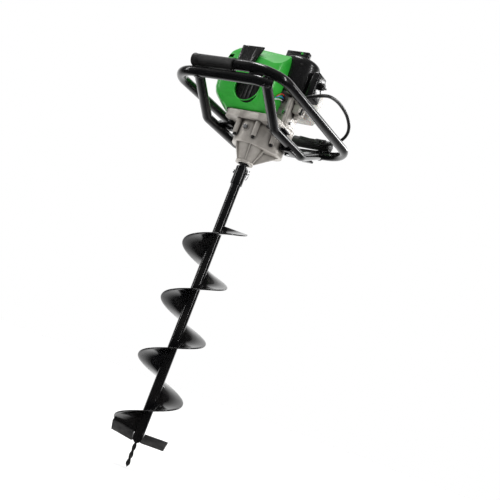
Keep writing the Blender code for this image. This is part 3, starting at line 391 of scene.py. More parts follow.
def wire_cover(name, color):
    n = Nodes(name)
    dark = tuple(c * 0.7 for c in color)
    n.feed(Base_Color=n.ramp(n.noise(150), 0.3, 0.7, dark, color))
    n.feed(Normal=n.bump(n.noise(900, 2), 0.1, 0.0003))
    n.set(Roughness=0.35)
    return n.material


POWDER = powder_coat()
PAINT = gloss_paint()
BLADE = blade_steel()
CAST = cast_aluminium()
ZINC = bright_zinc()
OXIDE = black_oxide()
GREEN = green_plastic()
BLACK = black_plastic()
SATIN_BLACK = black_plastic("satin_black", 0.34, 0.46)
RUBBER = grip_rubber()
TANK = tank_plastic()
FOAM = foam()
CONDUIT = conduit_plastic()
ROPE = rope_weave()
RED_WIRE = wire_cover("red_wire", (0.62, 0.03, 0.04))
BLUE_WIRE = wire_cover("blue_wire", (0.05, 0.22, 0.55))
WHITE_WIRE = wire_cover("white_wire", (0.80, 0.80, 0.80))


# ---------------------------------------------------------------- shapes

def link(data, name="shape"):
    obj = bpy.data.objects.new(name, data)
    bpy.context.scene.collection.objects.link(obj)
    return obj


def from_bmesh(bm, shift=(0, 0, 0)):
    bmesh.ops.translate(bm, vec=Vector(shift), verts=bm.verts)
    bmesh.ops.recalc_face_normals(bm, faces=bm.faces)
    mesh = bpy.data.meshes.new("shape")
    bm.to_mesh(mesh)
    bm.free()
    return link(mesh)


def plain(obj):
    """One welded mesh from an object with modifiers, or from a curve."""
    bpy.context.view_layer.update()
    evaluated = obj.evaluated_get(bpy.context.evaluated_depsgraph_get())
    mesh = bpy.data.meshes.new_from_object(evaluated)
    mesh.transform(obj.matrix_world)
    bpy.data.objects.remove(obj)
    bm = bmesh.new()
    bm.from_mesh(mesh)
    bmesh.ops.remove_doubles(bm, verts=bm.verts, dist=0.000002)
    bmesh.ops.recalc_face_normals(bm, faces=bm.faces)
    bm.to_mesh(mesh)
    bm.free()
    return link(mesh)


def moved(obj, matrix):
    obj.data.transform(matrix)
    return obj


def box(low, high):
    bm = bmesh.new()
    bmesh.ops.create_cube(bm, size=1.0)
    bmesh.ops.scale(bm, vec=[b - a for a, b in zip(low, high)], verts=bm.verts)
    return from_bmesh(bm, [(a + b) / 2 for a, b in zip(low, high)])


def rod(start, end, radius, sides=32, end_radius=None):
    start, end = Vector(start), Vector(end)
    bm = bmesh.new()
    tip = radius if end_radius is None else end_radius
    bmesh.ops.create_cone(bm, cap_ends=True, segments=sides, radius1=radius, radius2=tip,
                          depth=(end - start).length)
    turn = Vector((0, 0, 1)).rotation_difference(end - start).to_matrix().to_4x4()
    bmesh.ops.transform(bm, matrix=Matrix.Translation((start + end) / 2) @ turn, verts=bm.verts)
    return from_bmesh(bm)


def boolean(obj, others, operation):
    for other in others:
        modifier = obj.modifiers.new(operation, "BOOLEAN")
        modifier.operation = operation
        modifier.object = other
        modifier.solver = "EXACT"
    result = plain(obj)
    for other in others:
        bpy.data.objects.remove(other)
    return result


def union(obj, *others):
    return boolean(obj, others, "UNION")


def cut(obj, *others):
    return boolean(obj, others, "DIFFERENCE")


def bevelled(obj, width, segments=3, angle=30):
    modifier = obj.modifiers.new("bevel", "BEVEL")
    modifier.width = width
    modifier.segments = segments
    modifier.limit_method = "ANGLE"
    modifier.angle_limit = math.radians(angle)
    return plain(obj)


def prism(outline, near, far):
    """A flat outline in X and Z, extruded along Y."""
    bm = bmesh.new()
    front = [bm.verts.new((x, near, z)) for x, z in outline]
    back = [bm.verts.new((x, far, z)) for x, z in outline]
    bm.faces.new(front)
    bm.faces.new(back[::-1])
    for i in range(len(outline)):
        j = (i + 1) % len(outline)
        bm.faces.new((front[i], back[i], back[j], front[j]))
    return from_bmesh(bm)


def turned(profile, steps=64, at=(0, 0, 0), closed=False):
    """Turn (radius, height) points, listed down the outer side, about Z."""
    mesh = bpy.data.meshes.new("profile")
    edges = [(i, i + 1) for i in range(len(profile) - 1)]
    if closed:
        edges.append((len(profile) - 1, 0))
    mesh.from_pydata([(radius, 0, height) for radius, height in profile], edges, [])
    obj = link(mesh)
    screw = obj.modifiers.new("turn", "SCREW")
    screw.steps = steps
    screw.render_steps = steps
    screw.use_merge_vertices = True
    screw.merge_threshold = 0.000005
    return moved(plain(obj), Matrix.Translation(at))


def ring(outer, inner, low, high, steps):
    return turned([(outer, high), (outer, low), (inner, low), (inner, high)], steps, closed=True)


def torus(major, minor, at):
    turns = [2 * math.pi * i / 16 for i in range(16)]
    profile = [(major + minor * math.cos(a), -minor * math.sin(a)) for a in turns]
    return moved(turned(profile, closed=True), Matrix.Translation(at))


def filleted(points, radii, steps=14):
    """Replace each inner corner of a polyline by an arc that touches both of its sides."""
    points = [Vector(p) for p in points]
    path = [points[0]]
    for before, corner, after, radius in zip(points, points[1:-1], points[2:], radii):
        into, out = (before - corner).normalized(), (after - corner).normalized()
        half = into.angle(out) / 2
        reach = radius / math.tan(half)
        center = corner + (into + out).normalized() * radius / math.sin(half)
        first, last = corner + into * reach - center, corner + out * reach - center
        sweep = first.angle(last)
        for i in range(steps + 1):
            t = i / steps
            spoke = (first * math.sin((1 - t) * sweep) + last * math.sin(t * sweep)) / math.sin(sweep)
            path.append(center + spoke)
    path.append(points[-1])
    return path


def smooth_path(points, spacing):
    """Sample a smooth curve through a short list of points at an even spacing."""
    points = [Vector(p) for p in points]
    ends = [points[0] * 2 - points[1]] + points + [points[-1] * 2 - points[-2]]
    dense = []
    for p0, p1, p2, p3 in zip(ends, ends[1:], ends[2:], ends[3:]):
        for i in range(40):
            t = i / 40
            dense.append(0.5 * (2 * p1 + (p2 - p0) * t + (2 * p0 - 5 * p1 + 4 * p2 - p3) * t * t
                                + (3 * p1 - p0 - 3 * p2 + p3) * t ** 3))
    dense.append(points[-1])
    total = sum((b - a).length for a, b in zip(dense, dense[1:]))
    count = max(2, round(total / spacing))
    path, walked, target = [dense[0]], 0.0, total / count
    for a, b in zip(dense, dense[1:]):
        step = (b - a).length
        while walked + step >= target and len(path) < count:
            path.append(a.lerp(b, (target - walked) / step))
            target += total / count
        walked += step
    path.append(dense[-1])
    return path


def tube(path, radius, resolution=8, cyclic=False, radii=None):
    curve = bpy.data.curves.new("tube", "CURVE")
    curve.dimensions = "3D"
    curve.bevel_depth = radius
    curve.bevel_resolution = resolution
    curve.use_fill_caps = not cyclic
    spline = curve.splines.new("POLY")
    spline.points.add(len(path) - 1)
    for i, (point, at) in enumerate(zip(spline.points, path)):
        point.co = (*at, 1)
        point.radius = radii[i] if radii else 1.0
    spline.use_cyclic_u = cyclic
    return link(curve)


def shown(obj, name, body, material, replaced=(), smooth=38):
    """Name a finished piece, lower it into the frame, give it its material and hang it on its body."""
    obj.name = name
    if obj.type == "MESH":
        obj.data.transform(Matrix.Translation((0, 0, BASE)))
        obj.data.shade_smooth()
        obj.data.set_sharp_from_angle(angle=math.radians(smooth))
    else:
        for spline in obj.data.splines:
            for point in spline.points:
                point.co.z += BASE
    obj.data.materials.clear()
    obj.data.materials.append(material)
    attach(obj, body)
    if replaced:
        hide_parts(*([replaced] if isinstance(replaced, str) else replaced))
    return obj


def body_of(node):
    for body, nodes in frame["record"]["behaviour"]["bodies"].items():
        if node in nodes:
            return body
    return "machine"


def refined(node, material, width=0.0006, smooth=38):
    """A CAD node's own shape with its flat faces joined up and its edges rounded."""
    bm = bmesh.new()
    bm.from_mesh(frame["nodes"][node].data)
    bmesh.ops.remove_doubles(bm, verts=bm.verts, dist=0.000002)
    bmesh.ops.dissolve_limit(bm, angle_limit=math.radians(0.8), verts=bm.verts, edges=bm.edges)
    bm.normal_update()
    mesh = bpy.data.meshes.new(node)
    bm.to_mesh(mesh)
    bm.free()
    obj = bevelled(link(mesh), width, 2, 42)
    obj.data.transform(Matrix.Translation((0, 0, -BASE)))
    return shown(obj, node + "_finish", body_of(node), material, node, smooth)


# ---------------------------------------------------------------- handle frame

def weld_bead(name, joint, along_leg, along_rail):
    """The bead where a leg meets a rail: a lumpy thread along the line in which the two tubes cross."""
    leg, rail = Vector(along_leg).normalized(), Vector(along_rail).normalized()
    first = leg.orthogonal().normalized()
    second = leg.cross(first)
    path = []
    for i in range(72):
        angle = 2 * math.pi * i / 72
        side = (first * math.cos(angle) + second * math.sin(angle)) * TUBE_R
        flat_side = side - rail * side.dot(rail)
        flat_leg = leg - rail * leg.dot(rail)
        a, b, c = flat_leg.length_squared, 2 * flat_side.dot(flat_leg), flat_side.length_squared - TUBE_R ** 2
        reach = (-b + math.sqrt(max(b * b - 4 * a * c, 0))) / (2 * a)
        path.append(Vector(joint) + side + leg * reach)
    lumps = [0.85 + 0.25 * abs(math.sin(i * 0.9)) for i in range(72)]
    shown(tube(path, 0.0024, 4, True, lumps), name, "machine", POWDER)


def handle_frame():
    front = filleted([(-GRIP_END_X, FRONT_Y, FRONT_GRIP_Z), (RIGHT_X, FRONT_Y, FRONT_GRIP_Z),
                      (RIGHT_X, REAR_Y, RIGHT_CORNER_Z), (-0.020, REAR_Y, REAR_RAIL_Z)], (BEND_R, BEND_R))
    rear = filleted([(GRIP_END_X, REAR_Y, REAR_GRIP_Z), (-0.050, REAR_Y, REAR_GRIP_Z),
                     (LEFT_X, REAR_Y, FAR_CORNER_Z), (LEFT_X, FRONT_Y, FRONT_RAIL_Z),
                     (RAIL_BEND_X, FRONT_Y, FRONT_RAIL_Z), (*RAIL_END, FRONT_RAIL_Z)],
                    (0.05, 0.045, BEND_R, 0.045))
    front_piece = plain(tube(front, TUBE_R))
    plate = box((0.085, FRONT_Y - 0.0015, FRONT_RAIL_Z + TUBE_R - 0.001),
                (0.125, FRONT_Y + 0.0015, FRONT_GRIP_Z - TUBE_R + 0.001))
    shown(front_piece, "front_tube_finish", "machine", POWDER, "front_tube")
    shown(bevelled(plate, 0.0004, 2), "gusset_plate", "machine", POWDER)
    shown(plain(tube(rear, TUBE_R)), "rear_tube_finish", "machine", POWDER, "rear_tube")
    legs = (("left", -1, -0.055, -0.118, 0.1405), ("right", 1, 0.139, 0.060, REAR_RAIL_Z + 0.004))
    for name, side, front_x, rear_x, rear_z in legs:
        x = side * CRADLE_X
        points = [(front_x, FRONT_Y, FRONT_RAIL_Z), (x, -CRADLE_HALF_RUN, CRADLE_Z),
                  (x, CRADLE_HALF_RUN, CRADLE_Z), (rear_x, REAR_Y, rear_z)]
        corners = [Vector(p) for p in points]
        start = corners[0] + (corners[1] - corners[0]).normalized() * 0.006
        end = corners[3] + (corners[2] - corners[3]).normalized() * 0.006
        path = filleted([start, points[1], points[2], end], (0.045, 0.045))
        shown(plain(tube(path, TUBE_R)), f"cradle_{name}_finish", "machine", POWDER, f"cradle_{name}")
        weld_bead(f"weld_{name}_front", corners[0], corners[1] - corners[0], (1, 0, 0))
        weld_bead(f"weld_{name}_rear", corners[3], corners[2] - corners[3], (1, 0, 0.03))
    tail_weld = [(RAIL_BEND_X + 0.008 + i * 0.0034, FRONT_Y + 0.006 + i * 0.0022, FRONT_RAIL_Z + 0.0142)
                 for i in range(7)]
    shown(tube(tail_weld, 0.003, 4, radii=[0.4, 0.8, 1, 0.9, 1, 0.8, 0.4]), "weld_tail", "machine", POWDER)


def grip(name, start_x, inward, y, z, flare):
    """Rubber sleeve: a rounded end cap, a plain middle with shallow bands, and a collar at the inner end."""
    length = GRIP_LENGTH
    lip = GRIP_R + flare
    profile = [(0, -0.0030), (lip - 0.002, -0.0030), (lip - 0.0005, -0.0025), (lip, -0.0012),
               (lip, 0.0014), (lip - 0.0004, 0.0024), (GRIP_R, 0.0042)]
    for band in (0.010, 0.014, 0.018):
        profile += [(GRIP_R, band), (GRIP_R - 0.0005, band + 0.0004), (GRIP_R - 0.0005, band + 0.0012),
                    (GRIP_R, band + 0.0016)]
    profile += [(GRIP_R, length - 0.0075), (lip, length - 0.0052), (lip, length - 0.0006),
                (lip - 0.0006, length), (TUBE_R + GAP, length), (TUBE_R + GAP, -GAP), (0, -GAP)]
    sleeve = turned(profile[::-1])
    moved(sleeve, Matrix.Translation((start_x, y, z)) @ Matrix.Rotation(math.radians(90 * inward), 4, "Y"))
    shown(sleeve, name + "_finish", "machine", RUBBER, name)


def bolt_head(name, at, direction, width, height, material, replaced=(), washer=True):
    """Hexagon head with a chamfered top, on a washer unless told otherwise."""
    at, direction = Vector(at), Vector(direction).normalized()
    head = bevelled(rod((0, 0, 0.0008), (0, 0, height), width, 6), width * 0.10, 2)
    crown = rod((0, 0, height - 0.0004), (0, 0, height + 0.0003), width * 0.74, 32, width * 0.66)
    pieces = [crown]
    if washer:
        pieces.append(bevelled(rod((0, 0, 0), (0, 0, 0.001), width * 1.28, 40), 0.0002, 2))
    obj = union(head, *pieces)
    turn = Vector((0, 0, 1)).rotation_difference(direction).to_matrix().to_4x4()
    shown(moved(obj, Matrix.Translation(at) @ turn), name, "machine", material, replaced)


def frame_fittings():
    for node in ("bracket_left", "bracket_front_right", "bracket_rear_right", "rail_clamp"):
        refined(node, POWDER, 0.0007)
    for node, x, y in (("bracket_bolt_left", -0.0725, 0), ("bracket_bolt_right", 0.067, -0.039)):
        bolt_head(node + "_finish", (x, y, 0.0905), (0, 0, -1), 0.0062, 0.0052, ZINC, node, washer=False)
    bolt_head("bracket_bolt_rear", (0.092, 0.030, 0.0594), (0, 0, -1), 0.0058, 0.0055, ZINC)
    for name, x, y in (("cradle_bolt_front", 0.106, -0.039), ("cradle_bolt_left_a", -0.106, -0.018),
                       ("cradle_bolt_left_b", -0.106, 0.018)):
        bolt_head(name, (x, y, 0.0963), (0, 0, 1), 0.0045, 0.0038, ZINC)
    grip("plain_grip", -GRIP_END_X, 1, FRONT_Y, FRONT_GRIP_Z, 0.0010)
    grip("throttle_grip", GRIP_END_X, -1, REAR_Y, REAR_GRIP_Z, 0.0004)
    refined("trigger_housing", SATIN_BLACK, 0.0005)
    refined("throttle_trigger", SATIN_BLACK, 0.0006)
    refined("stop_switch", BLACK, 0.0003)


# ---------------------------------------------------------------- gearbox and engine

# CAD nodes that keep their shape: material, width of the rounded edges, and the angle below which faces blend
CARRIED_OVER = (
    ("gearbox_housing", CAST, 0.0007, 32), ("clutch_housing", CAST, 0.0006, 32),
    ("crankcase", CAST, 0.0006, 32), ("cylinder", CAST, 0.0004, 32),
    ("carburettor", CAST, 0.0005, 32), ("flywheel", CAST, 0.0004, 38),
    ("output_bearing", ZINC, 0.0003, 38), ("output_gear", ZINC, 0.0002, 38), ("lay_gear", ZINC, 0.0002, 38),
    ("clutch_drum", OXIDE, 0.0003, 38), ("clutch_rotor", ZINC, 0.0004, 38), ("crankshaft", ZINC, 0.0004, 38),
    ("piston_and_rod", ZINC, 0.0003, 38), ("spark_plug", ZINC, 0.0003, 38),
    ("starter_reel", BLACK, 0.0004, 38), ("muffler", OXIDE, 0.0008, 38),
)


def castings():
    """Castings and running gear that keep the CAD's shape, then the screws in them."""
    for node, material, width, smooth in CARRIED_OVER:
        refined(node, material, width, smooth)
    for number in range(1, 5):
        node = f"gearbox_screw_{number}"
        low, high = [Vector(c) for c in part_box(node)]
        middle = (low + high) / 2
        head_low = low.z - BASE
        head = bevelled(rod((0, 0, 0), (0, 0, 0.0061), 0.0046, 32), 0.0005, 2)
        socket = rod((0, 0, -0.001), (0, 0, 0.0030), 0.0024, 6)
        shank = rod((0, 0, 0.005), (0, 0, high.z - low.z), 0.0024, 16)
        screw = union(cut(head, socket), shank)
        moved(screw, Matrix.Translation((middle.x, middle.y, head_low)))
        shown(screw, node + "_finish", "machine", OXIDE, node)
    bolt_head("oil_plug_finish", (0, -0.0528, 0.083), (0, -1, 0), 0.0072, 0.0050, ZINC, "oil_plug",
              washer=False)
    for name, x, y, z in (("case_bolt_a", 0.062, -0.0072, 0.158), ("case_bolt_b", 0.022, -0.0072, 0.148)):
        bolt_head(name, (x, y, z), (0, -1, 0), 0.0042, 0.0036, ZINC)
    bolt_head("case_bolt_c", (0.0735, 0.0212, 0.1407), (1, 0, 0), 0.0040, 0.0034, ZINC)


def rounded_ring(x0, x1, y0, y1, radius, steps):
    points = []
    for cx, cy, start in ((x1 - radius, y1 - radius, 0), (x0 + radius, y1 - radius, 90),
                          (x0 + radius, y0 + radius, 180), (x1 - radius, y0 + radius, 270)):
        for i in range(steps):
            angle = math.radians(start + 90 * i / (steps - 1))
            points.append((cx + radius * math.cos(angle), cy + radius * math.sin(angle)))
    return points


def framed_panel():
    """Black plate let into the shroud's shoulder, with a raised right-hand block and thin bright edges."""
    lean = Matrix.Translation((-0.051, -0.0795, 0.272)) @ Matrix.Rotation(math.radians(-13), 4, "X")
    outline = ((-0.026, -0.027), (0.026, -0.027), (0.032, 0.024), (-0.034, 0.024))
    plate = prism(outline, -0.0022, 0.0015)
    step = prism(((0.0130, -0.0262), (0.0255, -0.0262), (0.0314, 0.0234), (0.0160, 0.0234)), -0.0038, -0.0010)
    grooves = []
    for x in (-0.018, -0.012, -0.006, 0.000, 0.006):
        groove = ((x, -0.022), (x + 0.0009, -0.022), (x * 1.2 + 0.0009, 0.019), (x * 1.2, 0.019))
        grooves.append(prism(groove, -0.004, -0.0016))
    body = bevelled(cut(union(plate, step), *grooves), 0.0004, 2)
    shown(moved(body, lean), "shroud_panel_finish", "machine", BLACK, "shroud_panel")
    edges = (("left", ((-0.0262, -0.027), (-0.0254, -0.027), (-0.0334, 0.024), (-0.0343, 0.024))),
             ("step", ((0.0124, -0.0262), (0.0131, -0.0262), (0.0161, 0.0234), (0.0154, 0.0234))),
             ("top", ((-0.0340, 0.0236), (0.0320, 0.0236), (0.0320, 0.0243), (-0.0340, 0.0243))))
    for name, strip in edges:
        trim = bevelled(prism(strip, -0.0030, -0.0016), 0.0002, 2)
        shown(moved(trim, lean), f"panel_trim_{name}", "machine", ZINC)


# Marks the cover's underside while its facets are cut; it is then left open
UNDERSIDE = 1


def shroud():
    """Engine cover: a lofted shell with flat facets, a lipped round opening and a bay for the starter."""
    bm = bmesh.new()
    loops = []
    for height, inset in SHROUD_ROWS:
        outline = rounded_ring(SHROUD_X[0] + inset, SHROUD_X[1] - inset * 0.35, SHROUD_Y[0] + inset,
                               SHROUD_Y[1] - inset, SHROUD_CORNER_R, 12)
        loops.append([bm.verts.new((x, y, height)) for x, y in outline])
    for low, high in zip(loops, loops[1:]):
        for i in range(len(low)):
            j = (i + 1) % len(low)
            bm.faces.new((low[i], low[j], high[j], high[i]))
    bm.faces.new(loops[-1])
    underside = bm.faces.new(loops[0][::-1])
    underside.material_index = UNDERSIDE
    for at, outward in SHROUD_FACETS:
        parts = bm.verts[:] + bm.edges[:] + bm.faces[:]
        done = bmesh.ops.bisect_plane(bm, geom=parts, plane_co=at, plane_no=outward, clear_outer=True)
        rim = [e for e in done["geom_cut"] if isinstance(e, bmesh.types.BMEdge)]
        bmesh.ops.contextual_create(bm, geom=rim)
    bmesh.ops.delete(bm, geom=[f for f in bm.faces if f.material_index == UNDERSIDE], context="FACES_ONLY")
    skin = from_bmesh(bm)
    wall = skin.modifiers.new("wall", "SOLIDIFY")
    wall.thickness = SHROUD_WALL
    wall.offset = -1
    skin = plain(skin)
    opening = rod((OPENING_X, -0.12, OPENING_Z), (OPENING_X, -0.060, OPENING_Z), 0.038, 72)
    bay = box((-0.012, -0.0085, 0.10), (0.12, 0.12, 0.34))
    drum_bay = rod((*ENGINE, 0.200), (*ENGINE, 0.34), DRUM_R + 0.0022, 96)
    slot = box((-0.118, -0.10, 0.256), (-0.100, -0.03, 0.267))
    shell = bevelled(cut(skin, opening, bay, drum_bay, slot), 0.0006, 2, 50)
    shown(shell, "engine_shroud_finish", "machine", GREEN, "engine_shroud", 28)
    framed_panel()
    lip = ring(0.0395, 0.0375, -0.0012, 0.0012, 72)
    facing = Matrix.Rotation(math.radians(90), 4, "X")
    moved(lip, Matrix.Translation((OPENING_X, -0.0815, OPENING_Z)) @ facing)
    shown(bevelled(lip, 0.0006, 2), "opening_lip", "machine", GREEN)


def starter():
    low, top = 0.2088, DRUM_TOP
    wall = 0.0025
    profile = [(0, top), (0.026, top), (0.030, top - 0.0002), (0.038, top - 0.0014), (0.044, top - 0.0034),
               (0.0480, top - 0.0066), (0.0505, top - 0.011), (0.0516, top - 0.016), (DRUM_R, top - 0.022)]
    profile += [(DRUM_R, low), (DRUM_R - wall, low), (DRUM_R - wall, top - 0.022), (0.048, top - 0.012),
                (0.042, top - 0.0055), (0.029, top - wall), (0, top - wall)]
    eyelet = rod((-0.012, -0.016, top - 0.02), (-0.012, -0.016, top + 0.02), 0.0042, 32)
    vents = [eyelet]
    for i in range(5):
        slot = box((0.025, -0.0016, top - 0.02), (0.037, 0.0016, top + 0.02))
        vents.append(moved(slot, Matrix.Rotation(math.radians(-20 + 35 * i), 4, "Z")))
    for i in range(14):
        pore = rod((0.045, 0, 0), (0.06, 0, 0), 0.0012, 10)
        raised = Matrix.Translation((0, 0, 0.232 + i * 0.0050))
        vents.append(moved(pore, Matrix.Rotation(math.radians(-98), 4, "Z") @ raised))
    shell = bevelled(cut(turned(profile, 112), *vents), 0.0003, 2, 50)
    moved(shell, Matrix.Translation((*ENGINE, 0)))
    shown(shell, "starter_housing_finish", "machine", BLACK, "starter_housing", 30)
    for name, angle in (("cover_screw_a", -115), ("cover_screw_b", -60), ("cover_screw_c", 20),
                        ("cover_screw_d", 140)):
        outward = Vector((math.cos(math.radians(angle)), math.sin(math.radians(angle)), 0))
        at = Vector((*ENGINE, 0.290)) + outward * (DRUM_R - 0.0003)
        bolt_head(name, at, outward, 0.0034, 0.0022, OXIDE)
    refined("starter_handle", SATIN_BLACK, 0.0006)
    refined("handle_plug", GREEN, 0.0004)
    rope_top, rope_low, rope_r = DRUM_TOP + 0.0118, 0.2600, 0.0022
    rope = turned([(0, rope_top), (rope_r, rope_top), (rope_r, rope_low), (0, rope_low)], 24,
                  (0.030, 0.012, 0))
    rope.data.transform(Matrix.Translation((0, 0, BASE)))
    rope.name = "starter_rope_finish"
    rope.data.shade_smooth()
    rope.data.materials.append(ROPE)
    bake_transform(rope)
    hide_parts("starter_rope")


def intake_and_fuel():
    refined("air_filter_cover", BLACK, 0.0005)
    refined("air_filter_foam", FOAM, 0.002)
    refined("filter_knob", SATIN_BLACK, 0.0004)
    refined("choke_lever", SATIN_BLACK, 0.0003)
    refined("fuel_tank", TANK, 0.0008, 50)
    refined("fuel_cap", BLACK, 0.0006)


CONDUIT_ROUTE = (
    (0.0890, 0.0000, 0.1965), (0.1000, -0.0085, 0.1990), (0.1135, -0.0130, 0.2028), (0.1276, -0.0122, 0.2083),
    (0.1402, -0.0065, 0.2150), (0.1501, 0.0035, 0.2220), (0.1559, 0.0169, 0.2285), (0.1575, 0.0340, 0.2335),
    (0.1578, 0.0540, 0.2375), (0.1578, 0.0760, 0.2400), (0.1575, 0.0990, 0.2405), (0.1575, 0.1220, 0.2390),
    (0.1570, 0.1440, 0.2355), (0.1555, 0.1650, 0.2295), (0.1520, 0.1850, 0.2220), (0.1450, 0.2030, 0.2130),
    (0.1340, 0.2170, 0.2035), (0.1200, 0.2265, 0.1945), (0.1045, 0.2307, 0.1865), (0.0910, 0.2315, 0.1815),
    (0.0781, 0.2314, 0.1801),
)
CONDUIT_R = 0.0045
WIRES = (
    ("red_wire_strand", ((0.0505, -0.0120, 0.1960), (0.0510, -0.0230, 0.1985),
                       (0.0508, -0.0340, 0.1930), (0.0506, -0.0470, 0.1800))),
    ("blue_wire_strand", ((0.0505, -0.0120, 0.1900), (0.0520, -0.0250, 0.1900),
                        (0.0520, -0.0380, 0.1850), (0.0508, -0.0500, 0.1750))),
    ("white_wire_strand", ((0.0505, -0.0120, 0.1840), (0.0510, -0.0240, 0.1820),
                         (0.0515, -0.0380, 0.1770), (0.0506, -0.0520, 0.1700))),
)


def cables():
    route = smooth_path(CONDUIT_ROUTE, 0.004)
    conduit = shown(tube(route, CONDUIT_R, 6), "throttle_conduit_finish", "machine", CONDUIT,
                    "throttle_conduit")
    plug = bevelled(box((0.0480, -0.0160, 0.1800), (0.0530, -0.0095, 0.2000)), 0.0008, 2)
    shown(plug, "wire_plug", "machine", SATIN_BLACK, "wire_harness")
    for (name, points), material in zip(WIRES, (RED_WIRE, BLUE_WIRE, WHITE_WIRE)):
        shown(tube(smooth_path(points, 0.002), 0.0012, 5), name, "machine", material)


# ---------------------------------------------------------------- screw bit

def flight_height(turns):
    return FLIGHT_TOP - FLIGHT_PITCH * turns - FLIGHT_PITCH_GROWTH * turns * turns


def flight():
    """The screw's sheet: a fine helicoid, thickened, with its rim rounded over."""
    bm = bmesh.new()
    count = round(FLIGHT_TURNS * FLIGHT_STEPS_PER_TURN)
    radii = (BIT_SHAFT_R - 0.0004, 0.025, 0.040, 0.056, 0.068, FLIGHT_R)
    rows = []
    for i in range(count + 1):
        turns = FLIGHT_TURNS * i / count
        angle = FLIGHT_START_ANGLE - 2 * math.pi * turns
        height = flight_height(turns)
        rows.append([bm.verts.new((r * math.cos(angle), r * math.sin(angle), height)) for r in radii])
    for a, b in zip(rows, rows[1:]):
        for i in range(len(radii) - 1):
            bm.faces.new((a[i], a[i + 1], b[i + 1], b[i]))
    sheet = from_bmesh(bm)
    wall = sheet.modifiers.new("sheet", "SOLIDIFY")
    wall.thickness = FLIGHT_SHEET
    wall.offset = 0
    shown(bevelled(plain(sheet), 0.0008, 2, 50), "flight_finish", "screw", PAINT, "flight", 50)
    bead = []
    for i in range(count * 2 + 1):
        turns = FLIGHT_TURNS * i / (count * 2)
        angle = FLIGHT_START_ANGLE - 2 * math.pi * turns
        reach = BIT_SHAFT_R + 0.0003
        height = flight_height(turns) - FLIGHT_SHEET / 2
        bead.append((reach * math.cos(angle), reach * math.sin(angle), height))
    lumps = [0.85 + 0.2 * abs(math.sin(i * 0.8)) for i in range(len(bead))]
    shown(tube(bead, 0.0017, 2, radii=lumps), "flight_weld", "screw", PAINT)


def bit():
    """Everything that turns with the screw."""
    shaft = ring(BIT_SHAFT_R, BIT_SHAFT_BORE_R, BIT_SHAFT_LOW, BIT_SHAFT_TOP, 64)
    shown(shaft, "bit_shaft_finish", "screw", PAINT, "bit_shaft")
    sleeve_low, sleeve_top = -0.0565, -0.0093
    profile = [(SLEEVE_R - 0.0016, sleeve_top), (SLEEVE_R - 0.0004, sleeve_top - 0.0004),
               (SLEEVE_R, sleeve_top - 0.0014), (SLEEVE_R, sleeve_low + 0.0012),
               (SLEEVE_R - 0.001, sleeve_low),
               (BIT_SHAFT_R + GAP, sleeve_low), (BIT_SHAFT_R + GAP, BIT_SHAFT_TOP + GAP),
               (0.0098, BIT_SHAFT_TOP + GAP), (0.0098, sleeve_top)]
    hole = rod((-0.03, 0, -0.024), (0.03, 0, -0.024), 0.0036, 32)
    sleeve = cut(turned(profile, 64, closed=True), hole)
    shown(sleeve, "coupling_sleeve_finish", "screw", POWDER, "coupling_sleeve")
    shown(torus(BIT_SHAFT_R + 0.0008, 0.0022, (0, 0, sleeve_low - 0.0004)), "sleeve_weld", "screw", POWDER)
    refined("output_shaft", OXIDE, 0.0004)
    refined("coupling_pin", ZINC, 0.0005)
    clip = smooth_path([(0.0200, 0, -0.0150), (0.0200, 0, -0.0330), (0.0212, 0, -0.0400),
                        (0.0240, 0, -0.0400), (0.0262, 0, -0.0330), (0.0266, 0, -0.0240),
                        (0.0250, 0, -0.0175), (0.0258, 0, -0.0150)], 0.0012)
    shown(tube(clip, 0.0009, 4), "spring_clip_finish", "screw", ZINC, "spring_clip")
    flight()
    for node in ("blade_left", "blade_right"):
        refined(node, BLADE, 0.0005)
    blade_web()
    point()


def blade_web():
    """Plate that carries the flight's end down to the left blade, welded along its top."""
    outline = ((BIT_SHAFT_R - 0.0004, -0.7150), (FLIGHT_R, -0.7150), (FLIGHT_R + 0.0008, -0.7190),
               (0.060, -0.7212), (BIT_SHAFT_R - 0.0004, -0.7290))
    web = bevelled(prism(outline, -0.0026, 0.0026), 0.0008, 2)
    turn = Matrix.Rotation(WEB_ANGLE, 4, "Z")
    shown(moved(web, turn), "blade_web", "screw", PAINT)
    bead = [turn @ Vector((BIT_SHAFT_R + i * 0.002, -0.0030, -0.7172)) for i in range(31)]
    lumps = [0.8 + 0.25 * abs(math.sin(i * 0.9)) for i in range(31)]
    shown(tube(bead, 0.0018, 3, radii=lumps), "blade_web_weld", "screw", PAINT)


def point():
    """Centre point: a twisted two-edged drill with a short cone at its end."""
    bm = bmesh.new()
    loops = []
    top, low, levels, around = BIT_SHAFT_LOW + 0.008, PILOT_TIP + 0.007, 90, 24
    for i in range(levels + 1):
        t = i / levels
        twist = 2 * math.pi * PILOT_TURNS * t
        loop = []
        for j in range(around):
            a = 2 * math.pi * j / around
            reach = (0.0027 + 0.0029 * abs(math.cos(a)) ** 1.4) * (0.86 + 0.14 * t)
            x, y = reach * math.cos(a + twist), reach * math.sin(a + twist)
            loop.append(bm.verts.new((x, y, top + (low - top) * t)))
        loops.append(loop)
    for a, b in zip(loops, loops[1:]):
        for j in range(around):
            k = (j + 1) % around
            bm.faces.new((a[j], a[k], b[k], b[j]))
    bm.faces.new(loops[0])
    tip = bm.verts.new((0, 0, PILOT_TIP))
    for j in range(around):
        bm.faces.new((loops[-1][j], loops[-1][(j + 1) % around], tip))
    drill = from_bmesh(bm)
    stem = turned([(0, top + 0.016), (0.0092, top + 0.016), (0.0092, BIT_SHAFT_LOW + 0.001),
                   (0.0060, BIT_SHAFT_LOW - 0.004), (0, BIT_SHAFT_LOW - 0.004)], 48)
    shown(union(stem, drill), "pilot_point_finish", "screw", OXIDE, "pilot_point", 50)


# ---------------------------------------------------------------- studio

